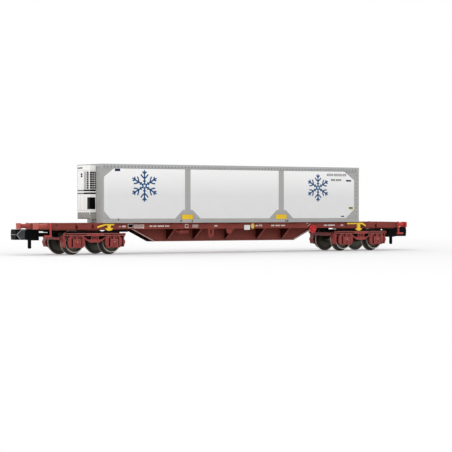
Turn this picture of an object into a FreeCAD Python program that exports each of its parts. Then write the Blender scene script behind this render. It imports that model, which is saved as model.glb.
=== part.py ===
import FreeCAD, Part
import math
import os

from FreeCAD import Vector

# N-scale (1:160) container flatcar with a 45 ft refrigerated container, in millimetres.
# +X runs along the wagon, +Y across it, +Z up. The wheels' flanges stand on Z = 0 and the
# origin is under the middle of the wagon. "Out" means away from the middle.

# ---- wagon underframe ----
PIVOT_SPACING = 88.75          # between the two bogie pivots
END_OVERHANG = 13.525          # bogie pivot to headstock face
BUFFER_LENGTH = 3.83           # headstock face to buffer face
SILL_OUTER = 6.9               # half the width over the side sills
SILL_BOTTOM = 6.9
SILL_TOP = 8.6
SILL_WEB = 0.45
SILL_FLANGE = 1.0
SILL_FLANGE_THICK = 0.35
HEADSTOCK_THICK = 0.5
BODY_BOLSTER_MARGIN = 0.2      # body bolster past its centre plate, along the wagon
GIRDER_HALF = 1.6              # half the width of the centre girder's box
GIRDER_FLANGE_HALF = 1.9
GIRDER_FLANGE_THICK = 0.3
GIRDER_TOP = 8.35
GIRDER_END_BOTTOM = 7.0        # underside of the girder over the bogies
BELLY_BOTTOM = 3.35            # underside of the fishbelly
BELLY_FROM_PIVOT = 20.72       # pivot to the corner of the fishbelly's flat
SLANT_FROM_PIVOT = 13.3        # pivot to the top of the fishbelly's slant
RIB_THICK = 0.45
RIB_FOOT = 2.6                 # how far out a rib's foot reaches, across the wagon
RIB_FOOT_RISE = 0.6            # rib's foot above the fishbelly's underside
RIB_INSET = 4.45               # last rib, in from the fishbelly's corner
RIB_SPACING = 8.6              # last rib to the second one
BAR_THICK = 0.6
DECK_THICK = 0.35
DECK_PLATE_LENGTH = 6.2
SEAT_GAP = 0.02                # between faces of the wagon that seat on each other

# ---- running gear ----
WHEELBASE = 11.25              # of one bogie
FLANGE_RADIUS = 3.38
FLANGE_DEPTH = 0.5             # tread down to the flange's rim
WHEEL_BACK = 3.72              # half the distance between the wheels' backs
FLANGE_WIDTH = 0.5
TREAD_WIDTH = 1.65
AXLE_RADIUS = 0.75
JOURNAL_RADIUS = 0.42
JOURNAL_PLAY = 0.06            # radial play of a journal in its axlebox
FRAME_INNER = 6.4              # inner face of a bogie's side frame
FRAME_THICK = 0.75
FRAME_TOP = 5.85
FRAME_END = 3.68               # axle to the end of the side frame's beam
BEAM_HEIGHT = 0.68
BOX_PROUD = 0.4                # axlebox, proud of the side frame
BOX_BOTTOM = 1.9
GUIDE_HALF = 2.45              # outer edge of an axlebox's guide columns, from the axle
GUIDE_CHAMFER = 0.5            # cut off a guide column's lower corner, along the wagon
GUIDE_TOP_CUT = 0.7            # cut off its upper corner, both ways
BEAM_RECESS = 0.4              # depth of the recess between the beam's flanges
TRUSS_BOTTOM = 3.3
TRUSS_TOP_HALF = 4.35
TRUSS_FLAT_HALF = 1.3
TRUSS_BAND = 0.85              # height of the truss's lower band
PANE_INNER = 1.1               # truss's slanted opening, from the middle: its inner edge,
PANE_TOP = 3.7                 # its outer corner under the beam
PANE_FOOT = 2.1                # and its outer corner on the band
SHOE_TIP = 0.7                 # brake shoe's tip, past its back
SHOE_OVERLAP = 1.2             # width of tread that a brake shoe faces
END_BEAM_GAP = 0.12            # end beam to the wheels' flanges, along the wagon
END_BEAM_THICK = 0.4
END_BEAM_INNER = (4.53, 5.5)   # low and high Z of the end beam towards the wagon's middle
END_BEAM_OUTER = (4.15, 4.75)  # and of the one under the coupler
BOLSTER_PLATE_HALF = 3.1       # top plate over the bogie bolster, half its length
BOLSTER_PLATE_REACH = 5.5      # and half its width
BOLSTER_PLATE_THICK = 0.5
BOLSTER_PLATE_DROP = 0.12      # below the pivot block's top
BOLSTER_WHEEL_GAP = 0.6        # bogie bolster to the wheels' flanges, along the wagon
PIVOT_RADIUS = 0.8
PIVOT_PLAY = 0.06
CENTRE_PLATE_RADIUS = 2.0
CENTRE_PLATE_BOTTOM = 6.6
PIVOT_GAP = 0.12               # bogie bolster to centre plate
BEARER_INNER = 2.3             # side bearers under the body bolster, from and to across
BEARER_OUTER = 5.6
BEARER_HALF = 1.6              # half a side bearer's length
BEARER_BOTTOM = 6.45

# ---- couplers ----
COUPLER_PIVOT_IN = 4.4         # pivot, in from the headstock face
COUPLER_HALF = 1.6
COUPLER_BOTTOM = 3.95
COUPLER_TOP = 6.97
COUPLER_NOSE_LIFT = 0.2        # head's underside is higher in front of its hanging pin
COUPLER_REAR_GAP = 0.65        # headstock to the back of the coupler's head
COUPLER_PAST_BUFFER = 3.7
POCKET_HALF = 1.1              # half the width of the pocket that holds the pivot pin
POCKET_IN = 5.2                # pocket's inner end, in from the pivot
POCKET_LID_HALF = 3.0          # half the width of the lid over the coupler
POCKET_LID_START = 0.2         # lid's inner end, out from the pivot, clear of the wheels
POCKET_LID_THICK = 0.62
POCKET_LUG_END = 2.2           # end of the lug on the pocket's far side, out from the pivot
POCKET_LUG_WIDTH = 0.8
SHANK_HALF = 0.75
SHANK_BOTTOM = 4.9
SHANK_TOP = 6.0
COUPLER_PIN_RADIUS = 0.5
COUPLER_PIN_PLAY = 0.06
DROP_PIN_RADIUS = 0.38
DROP_PIN_BOTTOM = 1.75
DROP_PIN_FROM_FACE = 4.8

# ---- buffers and fittings ----
BUFFER_Y = 5.6
BUFFER_Z = 7.78
BUFFER_WIDTH = 2.9
BUFFER_HEIGHT = 1.62
BUFFER_HEAD_THICK = 0.6
BUFFER_CROWN = 3.9             # radius of the head's crowned face, seen from above
SLEEVE_RADIUS = 0.62
STEP_PROUD = 0.8               # step's outer face, past the side sill
STEP_BAR = 0.4
STEP_BOTTOM = 4.87
STEP_FOOT_THICK = 0.5
STEP_FOOT_LENGTH = 1.9
LEVER_ROD = 0.22
LEVER_REACH = 0.45             # lever's outer face, past the side sill
LEVER_POST_HALF = 0.5
LEVER_LEFT_IN = 4.17           # left lever's post, in from the left pivot
LEVER_RIGHT_IN = 1.05          # right lever's post, in from the right pivot
HAND_WHEEL_FROM_PIVOT = 17.81
HAND_WHEEL_DROP = 0.26         # wheel's centre below the sill's bottom edge
HAND_WHEEL_RADIUS = 1.18
HAND_WHEEL_RIM = 0.17
HAND_WHEEL_PROUD = 0.75        # wheel's middle, past the side sill
CYLINDER_RADIUS = 0.62
CYLINDER_FROM_RIB = 0.5        # brake cylinder's nose, in from the last rib
FORK_FROM_RIB = 2.0            # brake fork, in from the second rib
PLATE_LEFT = 3.3               # data plate's two ends
PLATE_RIGHT = 5.2
SPIGOT_RADIUS = 0.45
SPIGOT_HEIGHT = 0.7
SPIGOT_PLAY = 0.08
SPIGOT_IN = 1.5                # spigot, in from either end of the container's base

# ---- container ----
CONTAINER_LEFT = -42.44        # front wall
CONTAINER_RIGHT = 43.06        # door end
CONTAINER_HALF = 7.8
CONTAINER_LIFT = 0.02          # seat gap under the bottom rails
CONTAINER_HEIGHT = 16.16
WALL = 0.6
ROOF_THICK = 0.5
FLOOR_THICK = 0.6
BASE_SETBACK = 3.1             # the base stops short of the front wall
CORNER_FOOT = 3.9              # near front corner's foot, across the wagon
BOTTOM_RAIL = 1.15
TOP_RAIL = 1.15
RAIL_PROUD = 0.1
PANEL_PROUD = 0.1
POST_WIDTH = 1.78
POST_LEFT = -15.76             # middle of each post between panels
POST_RIGHT = 15.44
GUSSET_TOP = 0.7               # post's foot gusset past the post, at its top
GUSSET_RUN = 3.2               # and along the bottom rail
GUSSET_RISE = 2.4
PANEL_MARGIN = 0.4             # panel edge to the front corner
DOOR_POST = 1.8                # panel edge to the door end
FRONT_POST = 1.8               # corner post's width on the front wall
FRONT_RECESS = 0.2             # front wall behind its corner posts
UNIT_HALF = 3.65
UNIT_DEPTH = 1.95
UNIT_TOP_DROP = 0.38           # unit's top below the container's top
UNIT_RISE = 2.86               # unit's underside above the container's underside
UNIT_EDGE = 0.15
TANK_RISE = 1.08               # tank's underside above the container's underside
TANK_PROUD = 0.1
GRILLE_TOP = 1.62              # below the unit's top
STRIPE_BAND = 2.08             # plain band between the window and the grille
GRILLE_DEPTH = 0.15
WINDOW_BOTTOM = 0.82           # above the unit's underside
WINDOW_HEIGHT = 3.38
WINDOW_FRONT = 1.5             # window's reach from the corner, on the front
WINDOW_SIDE = 1.9              # and on the side
ROOF_DROP = 0.1                # roof sheet below the top rails
ROOF_GROOVE_DEPTH = 0.08
ROOF_GROOVE_WIDTH = 1.0
ROOF_GROOVES = 16
DOOR_THICK = 0.5
DOOR_GAP = 0.15
LOCK_ROD = 0.22

# ---- worked out from the sizes above ----
PIVOT_X = PIVOT_SPACING / 2
HEADSTOCK_X = PIVOT_X + END_OVERHANG
BUFFER_X = HEADSTOCK_X + BUFFER_LENGTH
BELLY_X = PIVOT_X - BELLY_FROM_PIVOT
SLANT_X = PIVOT_X - SLANT_FROM_PIVOT
RIB_X = BELLY_X - RIB_INSET
SECOND_RIB_X = RIB_X - RIB_SPACING
FRAME_HALF_LENGTH = WHEELBASE / 2 + FRAME_END
HAND_WHEEL_X = PIVOT_X - HAND_WHEEL_FROM_PIVOT
HAND_WHEEL_Z = SILL_BOTTOM - HAND_WHEEL_DROP
AXLE_Z = FLANGE_RADIUS
TREAD_RADIUS = FLANGE_RADIUS - FLANGE_DEPTH
BOLSTER_HALF = WHEELBASE / 2 - FLANGE_RADIUS - BOLSTER_WHEEL_GAP
BODY_BOLSTER_HALF = CENTRE_PLATE_RADIUS + BODY_BOLSTER_MARGIN
FRAME_OUTER = FRAME_INNER + FRAME_THICK
WHEEL_OUTER = WHEEL_BACK + FLANGE_WIDTH + TREAD_WIDTH
SHOE_INNER = WHEEL_OUTER - SHOE_OVERLAP
COUPLER_X = HEADSTOCK_X - COUPLER_PIVOT_IN
COUPLER_FACE = BUFFER_X + COUPLER_PAST_BUFFER
COUPLER_REAR = HEADSTOCK_X + COUPLER_REAR_GAP
STEP_Y = SILL_OUTER + STEP_PROUD
CONTAINER_BOTTOM = SILL_TOP + CONTAINER_LIFT
CONTAINER_TOP = CONTAINER_BOTTOM + CONTAINER_HEIGHT
WALL_OUTER = CONTAINER_HALF - RAIL_PROUD
WALL_INNER = WALL_OUTER - WALL
PANEL_BOTTOM = CONTAINER_BOTTOM + BOTTOM_RAIL
PANEL_TOP = CONTAINER_TOP - TOP_RAIL
BASE_LEFT = CONTAINER_LEFT + BASE_SETBACK
UNIT_TOP = CONTAINER_TOP - UNIT_TOP_DROP
UNIT_BOTTOM = CONTAINER_BOTTOM + UNIT_RISE
TANK_BOTTOM = CONTAINER_BOTTOM + TANK_RISE
UNIT_FRONT = CONTAINER_LEFT - UNIT_DEPTH

X_AXIS = Vector(1, 0, 0)
Y_AXIS = Vector(0, 1, 0)
ORIGIN = Vector(0, 0, 0)


# ---- small helpers ----
def box(x0, x1, y0, y1, z0, z1):
    """Block between two corners, given as low and high values in any order."""
    low = Vector(min(x0, x1), min(y0, y1), min(z0, z1))
    return Part.makeBox(abs(x1 - x0), abs(y1 - y0), abs(z1 - z0), low)


def rod(radius, start, end):
    """Round bar from one point to another."""
    start, end = Vector(*start), Vector(*end)
    return Part.makeCylinder(radius, (end - start).Length, start, end - start)


def plate_xz(outline, y0, y1):
    """Outline of (x, z) points made into a plate between two values of Y."""
    points = [Vector(x, y0, z) for x, z in outline]
    return Part.Face(Part.makePolygon(points + points[:1])).extrude(Vector(0, y1 - y0, 0))


def plate_yz(outline, x0, x1):
    """Outline of (y, z) points made into a plate between two values of X."""
    points = [Vector(x0, y, z) for y, z in outline]
    return Part.Face(Part.makePolygon(points + points[:1])).extrude(Vector(x1 - x0, 0, 0))


def corner_wedge(a, b, c, d):
    """Four-sided wedge, for bevels that fade out."""
    points = [Vector(*p) for p in (a, b, c, d)]
    faces = []
    for i, j, k in ((0, 1, 2), (0, 1, 3), (0, 2, 3), (1, 2, 3)):
        faces.append(Part.Face(Part.makePolygon([points[i], points[j], points[k], points[i]])))
    solid = Part.Solid(Part.Shell(faces))
    if solid.Volume < 0:
        solid.reverse()
    return solid


def fuse(shapes):
    """One solid from shapes that touch or overlap."""
    return shapes[0].fuse(shapes[1:]).removeSplitter()


def flip_x(shape):
    return shape.mirror(ORIGIN, X_AXIS)


def flip_y(shape):
    return shape.mirror(ORIGIN, Y_AXIS)


def half_turn(shape):
    """The same piece on the other side and at the other end."""
    return flip_x(flip_y(shape))


def shift(shape, x):
    copy = shape.copy()
    copy.translate(Vector(x, 0, 0))
    return copy


def save(node, *shapes):
    """Write one node as the solids of the given shapes."""
    solids = [solid for shape in shapes for solid in shape.Solids]
    shape = solids[0] if len(solids) == 1 else Part.makeCompound(solids)
    shape.exportStep("parts/" + node + ".step")


# ---- wagon underframe ----
# Grooves in a sill's outer face. Over the bogies: end, how far out from the pivot, width,
# depth down from the top edge. Over the fishbelly: X, width, depth down from the top edge.
GROOVE_DEPTH = 0.15
WHOLE = SILL_TOP - SILL_BOTTOM
END_GROOVES = ((-1, 5.72, 0.35, WHOLE), (-1, 3.12, 0.7, 0.45), (-1, 0.62, 0.6, WHOLE - 0.3),
               (1, -8.1, 0.8, 0.45), (1, -5.38, 0.6, WHOLE - 0.3), (1, 2.22, 0.7, 0.45),
               (1, 5.72, 0.35, WHOLE))
BELLY_GROOVES = ((-20.4, 0.8, 0.35), (-17.7, 0.9, 0.35), (-10.0, 2.4, 0.35), (0.2, 3.0, 0.35),
                 (11.4, 1.6, 0.35), (19.6, 3.0, 0.35))


def side_sill():
    """Near channel: an outer web with two flanges that face inwards, and its grooves."""
    reach = HEADSTOCK_X - HEADSTOCK_THICK - SEAT_GAP
    outer = -SILL_OUTER
    web = box(-reach, reach, outer, outer + SILL_WEB, SILL_BOTTOM, SILL_TOP)
    flange = outer + SILL_FLANGE
    top = box(-reach, reach, outer, flange, SILL_TOP - SILL_FLANGE_THICK, SILL_TOP)
    bottom = box(-reach, reach, outer, flange, SILL_BOTTOM, SILL_BOTTOM + SILL_FLANGE_THICK)
    places = [(end * (PIVOT_X + out), width, depth) for end, out, width, depth in END_GROOVES]
    grooves = []
    for x, width, depth in places + list(BELLY_GROOVES):
        low = SILL_TOP - depth
        grooves.append(box(x - width / 2, x + width / 2, outer - 1, outer + GROOVE_DEPTH, low, SILL_TOP))
    return fuse([web, top, bottom]).cut(grooves)


def centre_girder():
    """Fishbelly box girder between the body bolsters, with a wider bottom flange."""
    end = PIVOT_X - BODY_BOLSTER_HALF - SEAT_GAP
    under = [(-end, GIRDER_END_BOTTOM), (-SLANT_X, GIRDER_END_BOTTOM), (-BELLY_X, BELLY_BOTTOM),
             (BELLY_X, BELLY_BOTTOM), (SLANT_X, GIRDER_END_BOTTOM), (end, GIRDER_END_BOTTOM)]
    core = plate_xz(under + [(end, GIRDER_TOP), (-end, GIRDER_TOP)], -GIRDER_HALF, GIRDER_HALF)
    raised = [(x, z + GIRDER_FLANGE_THICK) for x, z in reversed(under)]
    flange = plate_xz(under + raised, -GIRDER_FLANGE_HALF, GIRDER_FLANGE_HALF)
    top = box(-end, end, -GIRDER_FLANGE_HALF, GIRDER_FLANGE_HALF,
              GIRDER_TOP - GIRDER_FLANGE_THICK, GIRDER_TOP)
    return fuse([core, flange, top])


def draft_sill():
    """Right-hand girder stub between the body bolster and the headstock."""
    start = PIVOT_X + BODY_BOLSTER_HALF + SEAT_GAP
    end = HEADSTOCK_X - HEADSTOCK_THICK - SEAT_GAP
    return box(start, end, -GIRDER_HALF, GIRDER_HALF, GIRDER_END_BOTTOM, GIRDER_TOP - DECK_THICK)


def body_bolster():
    """Right-hand cross beam over a bogie, with its centre plate and the pivot's bore."""
    half = BODY_BOLSTER_HALF
    reach = SILL_OUTER - SILL_WEB - SEAT_GAP
    flange_reach = SILL_OUTER - SILL_FLANGE - SEAT_GAP
    beam = box(PIVOT_X - half, PIVOT_X + half, -flange_reach, flange_reach,
               SILL_BOTTOM + 0.1, GIRDER_TOP)
    tongue_low = SILL_BOTTOM + SILL_FLANGE_THICK + SEAT_GAP
    tongue_high = SILL_TOP - SILL_FLANGE_THICK - SEAT_GAP
    tongue = box(PIVOT_X - half + 0.4, PIVOT_X + half - 0.4, -reach, reach, tongue_low, tongue_high)
    plate = rod(CENTRE_PLATE_RADIUS, (PIVOT_X, 0, CENTRE_PLATE_BOTTOM), (PIVOT_X, 0, SILL_BOTTOM + 0.2))
    bore = rod(PIVOT_RADIUS + PIVOT_PLAY, (PIVOT_X, 0, CENTRE_PLATE_BOTTOM - 0.1),
               (PIVOT_X, 0, SILL_BOTTOM + 1.15))
    bearers = [box(PIVOT_X - BEARER_HALF, PIVOT_X + BEARER_HALF, side * BEARER_INNER,
                   side * BEARER_OUTER, BEARER_BOTTOM, SILL_BOTTOM + 0.2) for side in (-1, 1)]
    return fuse([beam, tongue, plate] + bearers).cut(bore)


def cross_rib(x):
    """Near gusset from the side sill down to the girder's foot."""
    inner = -GIRDER_FLANGE_HALF - SEAT_GAP
    outer = -SILL_OUTER + SILL_WEB + SEAT_GAP
    outer_flange = -SILL_OUTER + SILL_FLANGE + SEAT_GAP
    above = SILL_BOTTOM + SILL_FLANGE_THICK + SEAT_GAP
    top = SILL_TOP - SILL_FLANGE_THICK - SEAT_GAP
    foot = BELLY_BOTTOM + RIB_FOOT_RISE
    outline = [(inner, foot), (-RIB_FOOT, foot), (-SILL_OUTER + 0.1, SILL_BOTTOM - SEAT_GAP),
               (outer_flange, SILL_BOTTOM - SEAT_GAP), (outer_flange, above), (outer, above),
               (outer, top), (inner, top)]
    return plate_yz(outline, x - RIB_THICK / 2, x + RIB_THICK / 2)


def cross_bar(x):
    """Near half of a bar between a side sill and the girder's side."""
    outer = -SILL_OUTER + SILL_WEB + SEAT_GAP
    low = SILL_BOTTOM + SILL_FLANGE_THICK + SEAT_GAP
    high = SILL_TOP - SILL_FLANGE_THICK - SEAT_GAP
    return box(x - BAR_THICK / 2, x + BAR_THICK / 2, outer, -GIRDER_FLANGE_HALF - SEAT_GAP, low, high)


def end_deck():
    """Right-hand deck plate between the sills, behind the headstock."""
    reach = SILL_OUTER - SILL_FLANGE - SEAT_GAP
    end = HEADSTOCK_X - HEADSTOCK_THICK - SEAT_GAP
    return box(end - DECK_PLATE_LENGTH, end, -reach, reach, SILL_TOP - DECK_THICK, SILL_TOP)


def headstock():
    """Right-hand end beam across both sills."""
    inner = HEADSTOCK_X - HEADSTOCK_THICK
    return box(inner, HEADSTOCK_X, -SILL_OUTER, SILL_OUTER, SILL_BOTTOM, SILL_TOP)


def buffer(side):
    """Right-hand buffer: rectangular head with a crowned face on a round sleeve."""
    face = BUFFER_X
    y = side * BUFFER_Y
    head = box(face - BUFFER_HEAD_THICK, face, y - BUFFER_WIDTH / 2, y + BUFFER_WIDTH / 2,
               BUFFER_Z - BUFFER_HEIGHT / 2, BUFFER_Z + BUFFER_HEIGHT / 2)
    lengthwise = [edge for edge in head.Edges if abs(edge.tangentAt(0).x) > 0.9]
    head = head.makeFillet(0.3, lengthwise)
    middle = face - BUFFER_CROWN
    crown = rod(BUFFER_CROWN, (middle, y, BUFFER_Z - BUFFER_HEIGHT), (middle, y, BUFFER_Z + BUFFER_HEIGHT))
    head = head.common(crown)
    start = HEADSTOCK_X + SEAT_GAP
    sleeve = rod(SLEEVE_RADIUS, (start, y, BUFFER_Z), (face - BUFFER_HEAD_THICK, y, BUFFER_Z))
    collar = rod(SLEEVE_RADIUS + 0.13, (start, y, BUFFER_Z), (start + 1.3, y, BUFFER_Z))
    base = box(start, start + 0.25, y - 0.95, y + 0.95, SILL_BOTTOM + 0.1, SILL_TOP - 0.1)
    return fuse([head, sleeve, collar, base])


def corner_step():
    """Right-hand near step: a bar down from the headstock's corner with a foot plate."""
    near = -STEP_Y
    far = near + STEP_BAR
    x0 = HEADSTOCK_X - 0.2
    x1 = x0 + STEP_BAR
    bar = box(x0, x1, near, far, STEP_BOTTOM, SILL_TOP + 0.1)
    foot = box(x0 - 0.1, x0 + STEP_FOOT_LENGTH, near, far + 0.3, STEP_BOTTOM, STEP_BOTTOM + STEP_FOOT_THICK)
    lug = box(x0, x1, near, -SILL_OUTER - SEAT_GAP, SILL_BOTTOM + 0.5, SILL_BOTTOM + 1.2)
    return fuse([bar, foot, lug])


# ---- brake gear and fittings on the near side ----
def changeover_lever(stem, inner_arm, outer_arm, foot_drop):
    """Lever on its post at X = stem: level inner arm, bent outer arm, and a curved foot."""
    y0 = -SILL_OUTER - SEAT_GAP
    y1 = -SILL_OUTER - LEVER_REACH
    out = 1 if outer_arm > 0 else -1
    high, low = SILL_TOP - 0.43, SILL_TOP - 1.13
    arm = [(stem + inner_arm, high + LEVER_ROD), (stem + out * 1.3, high + LEVER_ROD),
           (stem + outer_arm, low + LEVER_ROD), (stem + outer_arm, low - LEVER_ROD),
           (stem + out * 1.1, high - LEVER_ROD), (stem + inner_arm, high - LEVER_ROD)]
    arm = plate_xz(arm, y1, y1 + 0.3)
    bottom = SILL_BOTTOM - foot_drop
    post = box(stem - LEVER_POST_HALF, stem + LEVER_POST_HALF, y1, y0, bottom + 0.2, high)
    radius = 1.35
    foot = rod(radius, (stem, y1, bottom + radius), (stem, y0, bottom + radius))
    bite = rod(radius * 0.8, (stem, y1 - 1, bottom + radius + 0.6), (stem, y0 + 1, bottom + radius + 0.6))
    foot = foot.common(box(stem - 2, stem + 2, y1, y0, bottom, bottom + 0.7)).cut(bite)
    return fuse([arm, post, foot])


def hand_wheel():
    """Near hand brake wheel: rim, dished disc, hub, and a spindle to the sill."""
    x = HAND_WHEEL_X
    y = -SILL_OUTER - HAND_WHEEL_PROUD
    rim = Part.makeTorus(HAND_WHEEL_RADIUS - HAND_WHEEL_RIM, HAND_WHEEL_RIM,
                         Vector(x, y, HAND_WHEEL_Z), Y_AXIS)
    disc = rod(HAND_WHEEL_RADIUS - HAND_WHEEL_RIM, (x, y - 0.08, HAND_WHEEL_Z), (x, y + 0.08, HAND_WHEEL_Z))
    hub = rod(0.4, (x, y - 0.2, HAND_WHEEL_Z), (x, y + 0.2, HAND_WHEEL_Z))
    spindle_z = SILL_BOTTOM + 0.55
    spindle = box(x - 0.25, x + 0.25, y, -SILL_OUTER - SEAT_GAP, spindle_z - 0.4, spindle_z + 0.25)
    return fuse([rim, disc, hub, spindle])


def brake_cylinder():
    """Near brake cylinder on two straps under the sill."""
    y, z, radius = -SILL_OUTER + 1.2, SILL_BOTTOM - 0.75, CYLINDER_RADIUS
    nose = -RIB_X + CYLINDER_FROM_RIB
    start, end = nose + 1.1, nose + 4.1
    body = rod(radius, (start, y, z), (end, y, z))
    spigot = rod(radius * 0.55, (nose, y, z), (start, y, z))
    straps = [box(x, x + 0.35, y - 0.3, y + 0.3, z, SILL_BOTTOM - SEAT_GAP)
              for x in (start + 0.5, end - 0.7)]
    return fuse([body, spigot] + straps)


def brake_hangers():
    """Near fork and bracket that hang from the sill for the brake rods."""
    y0, y1 = -SILL_OUTER + 0.1, -SILL_OUTER + 0.55
    top = SILL_BOTTOM - SEAT_GAP
    x = -SECOND_RIB_X + FORK_FROM_RIB
    fork = [(x, top), (x + 2.0, top), (x + 1.8, top - 2.0), (x + 1.3, top - 2.6),
            (x + 0.7, top - 2.6), (x + 0.2, top - 2.0)]
    slot = [(x + 0.6, top - 0.3), (x + 1.4, top - 0.3), (x + 1.25, top - 1.6), (x + 0.75, top - 1.6)]
    fork = plate_xz(fork, y0, y1).cut(plate_xz(slot, y0, y1))
    bracket = plate_xz([(-2.6, top), (-0.4, top), (-1.0, top - 1.4), (-2.1, top - 1.4)], y0, y1)
    return [fork, bracket]


def data_plate():
    """Near blank label plate on the sill."""
    return box(PLATE_LEFT, PLATE_RIGHT, -SILL_OUTER - 0.15, -SILL_OUTER - SEAT_GAP,
               SILL_BOTTOM - 0.4, SILL_TOP - 0.7)


# ---- bogie, about its pivot at X = 0 ----
def side_frame():
    """Near side frame: I-shaped top beam, truss belly, two axleboxes and brake hangers."""
    inner, outer = -FRAME_INNER, -FRAME_OUTER
    beam_low = FRAME_TOP - BEAM_HEIGHT
    half = FRAME_HALF_LENGTH
    beam = box(-half, half, outer, inner, beam_low, FRAME_TOP)
    recess = [box(sign * 2.6, sign * (half - 0.3), outer, outer + BEAM_RECESS, beam_low + 0.17,
                  FRAME_TOP - 0.17)
              for sign in (-1, 1)]
    beam = beam.cut(recess)
    truss = plate_xz([(-TRUSS_TOP_HALF, beam_low), (-TRUSS_FLAT_HALF, TRUSS_BOTTOM),
                      (TRUSS_FLAT_HALF, TRUSS_BOTTOM), (TRUSS_TOP_HALF, beam_low)], outer + 0.1, inner)
    window_low, window_high = TRUSS_BOTTOM + TRUSS_BAND, beam_low
    panes = []
    for x0, x1 in ((-0.85, -0.45), (-0.2, 0.2), (0.45, 0.85)):
        panes.append(box(x0, x1, outer - 1, inner + 1, window_low, window_high))
    for sign in (-1, 1):
        outline = [(sign * PANE_INNER, window_low), (sign * PANE_INNER, window_high),
                   (sign * PANE_TOP, window_high), (sign * PANE_FOOT, window_low)]
        panes.append(plate_xz(outline, outer - 1, inner + 1))
    pieces = [beam, truss.cut(panes)]
    for centre in (-WHEELBASE / 2, WHEELBASE / 2):
        pieces += axlebox(centre, beam_low)
    for sign in (-1, 1):
        pieces.append(brake_shoe(sign, beam_low))
    frame = fuse(pieces)
    bores = [rod(JOURNAL_RADIUS + JOURNAL_PLAY, (x, inner + 0.5, AXLE_Z), (x, outer + 0.1, AXLE_Z))
             for x in (-WHEELBASE / 2, WHEELBASE / 2)]
    return frame.cut(bores)


def axlebox(x, beam_low):
    """Box with its cover between two guide columns, over a tie plate."""
    inner, outer = -FRAME_INNER, -FRAME_OUTER
    proud = outer - BOX_PROUD
    half, shoulder = GUIDE_HALF, BOX_BOTTOM + 1.0
    foot, head = half - GUIDE_CHAMFER, half - GUIDE_TOP_CUT
    neck = beam_low - GUIDE_TOP_CUT
    back = plate_xz([(x - head, beam_low), (x - half, neck), (x - half, shoulder),
                     (x - foot, BOX_BOTTOM + 0.1), (x + foot, BOX_BOTTOM + 0.1), (x + half, shoulder),
                     (x + half, neck), (x + head, beam_low)], outer + 0.25, inner)
    cover = box(x - 1.1, x + 1.1, proud, inner, BOX_BOTTOM + 0.15, 4.2)
    cap = rod(0.62, (x, proud - 0.12, AXLE_Z), (x, proud + 0.2, AXLE_Z))
    columns = [plate_xz([(x + sign * (half - 0.9), beam_low), (x + sign * (half - 0.9), BOX_BOTTOM + 0.05),
                         (x + sign * foot, BOX_BOTTOM + 0.05), (x + sign * half, shoulder),
                         (x + sign * half, neck), (x + sign * head, beam_low)], outer - 0.1, inner)
               for sign in (-1, 1)]
    tie = box(x - foot, x + foot, outer - 0.2, inner, BOX_BOTTOM, BOX_BOTTOM + 0.3)
    spring = rod(0.25, (x, outer - 0.1, 4.15), (x, outer - 0.1, beam_low + 0.1))
    return [back, cover, cap, tie, spring] + columns


def brake_shoe(sign, beam_low):
    """Pointed brake shoe that hangs from the beam's end, before the wheel's tread."""
    near, far = -FRAME_INNER - 0.3, -SHOE_INNER
    inside = WHEELBASE / 2 + TREAD_RADIUS + 0.25
    tip = inside + SHOE_TIP
    outline = [(sign * inside, beam_low + 0.2), (sign * (inside + 0.5), beam_low),
               (sign * (tip - 0.4), AXLE_Z + 0.95), (sign * tip, AXLE_Z + 0.1),
               (sign * (inside + 0.25), AXLE_Z - 1.3), (sign * inside, AXLE_Z - 1.25)]
    return plate_xz(outline, near, far)


def end_beams():
    """Right-hand bogie's two end beams between its brake shoes, before the wheels."""
    near = WHEELBASE / 2 + FLANGE_RADIUS + END_BEAM_GAP
    far = near + END_BEAM_THICK
    reach = SHOE_INNER - SEAT_GAP
    inner = box(-near, -far, -reach, reach, *END_BEAM_INNER)
    outer = box(near, far, -reach, reach, *END_BEAM_OUTER)
    return [inner, outer]


def bogie_bolster():
    """Cross beam between the side frames with the pivot block, top plate and pin."""
    reach = FRAME_INNER - SEAT_GAP
    low = FRAME_TOP - BEAM_HEIGHT - 0.6
    beam = box(-BOLSTER_HALF, BOLSTER_HALF, -reach, reach, low, FRAME_TOP - 0.3)
    block_top = CENTRE_PLATE_BOTTOM - PIVOT_GAP
    block = box(-BOLSTER_HALF, BOLSTER_HALF, -2.2, 2.2, low, block_top)
    pin = rod(PIVOT_RADIUS, (0, 0, block_top), (0, 0, SILL_BOTTOM + 1.0))
    plate_high = block_top - BOLSTER_PLATE_DROP
    plate = box(-BOLSTER_PLATE_HALF, BOLSTER_PLATE_HALF, -BOLSTER_PLATE_REACH, BOLSTER_PLATE_REACH,
                plate_high - BOLSTER_PLATE_THICK, plate_high)
    return fuse([beam, block, plate, pin])


def wheel_pair():
    """Two wheels with flange, tread and dished web, facing opposite ways."""
    back = WHEEL_BACK
    edge = back + FLANGE_WIDTH
    outer = edge + TREAD_WIDTH
    rim = TREAD_RADIUS - 0.5
    profile = [(AXLE_RADIUS + 0.01, back), (FLANGE_RADIUS - 0.08, back), (FLANGE_RADIUS, back + 0.12),
               (FLANGE_RADIUS, back + 0.3), (TREAD_RADIUS + 0.12, edge), (TREAD_RADIUS, edge + 0.2),
               (TREAD_RADIUS - 0.06, outer - 0.08), (TREAD_RADIUS - 0.14, outer), (rim, outer),
               (rim - 0.15, outer - 0.55), (1.3, outer - 0.45), (1.15, outer - 0.05),
               (AXLE_RADIUS + 0.01, outer - 0.05)]
    points = [Vector(r, y, 0) for r, y in profile]
    face = Part.Face(Part.makePolygon(points + points[:1]))
    wheel = face.revolve(ORIGIN, Y_AXIS, 360)
    wheel.translate(Vector(0, 0, AXLE_Z))
    return [wheel, flip_y(wheel)]


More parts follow.
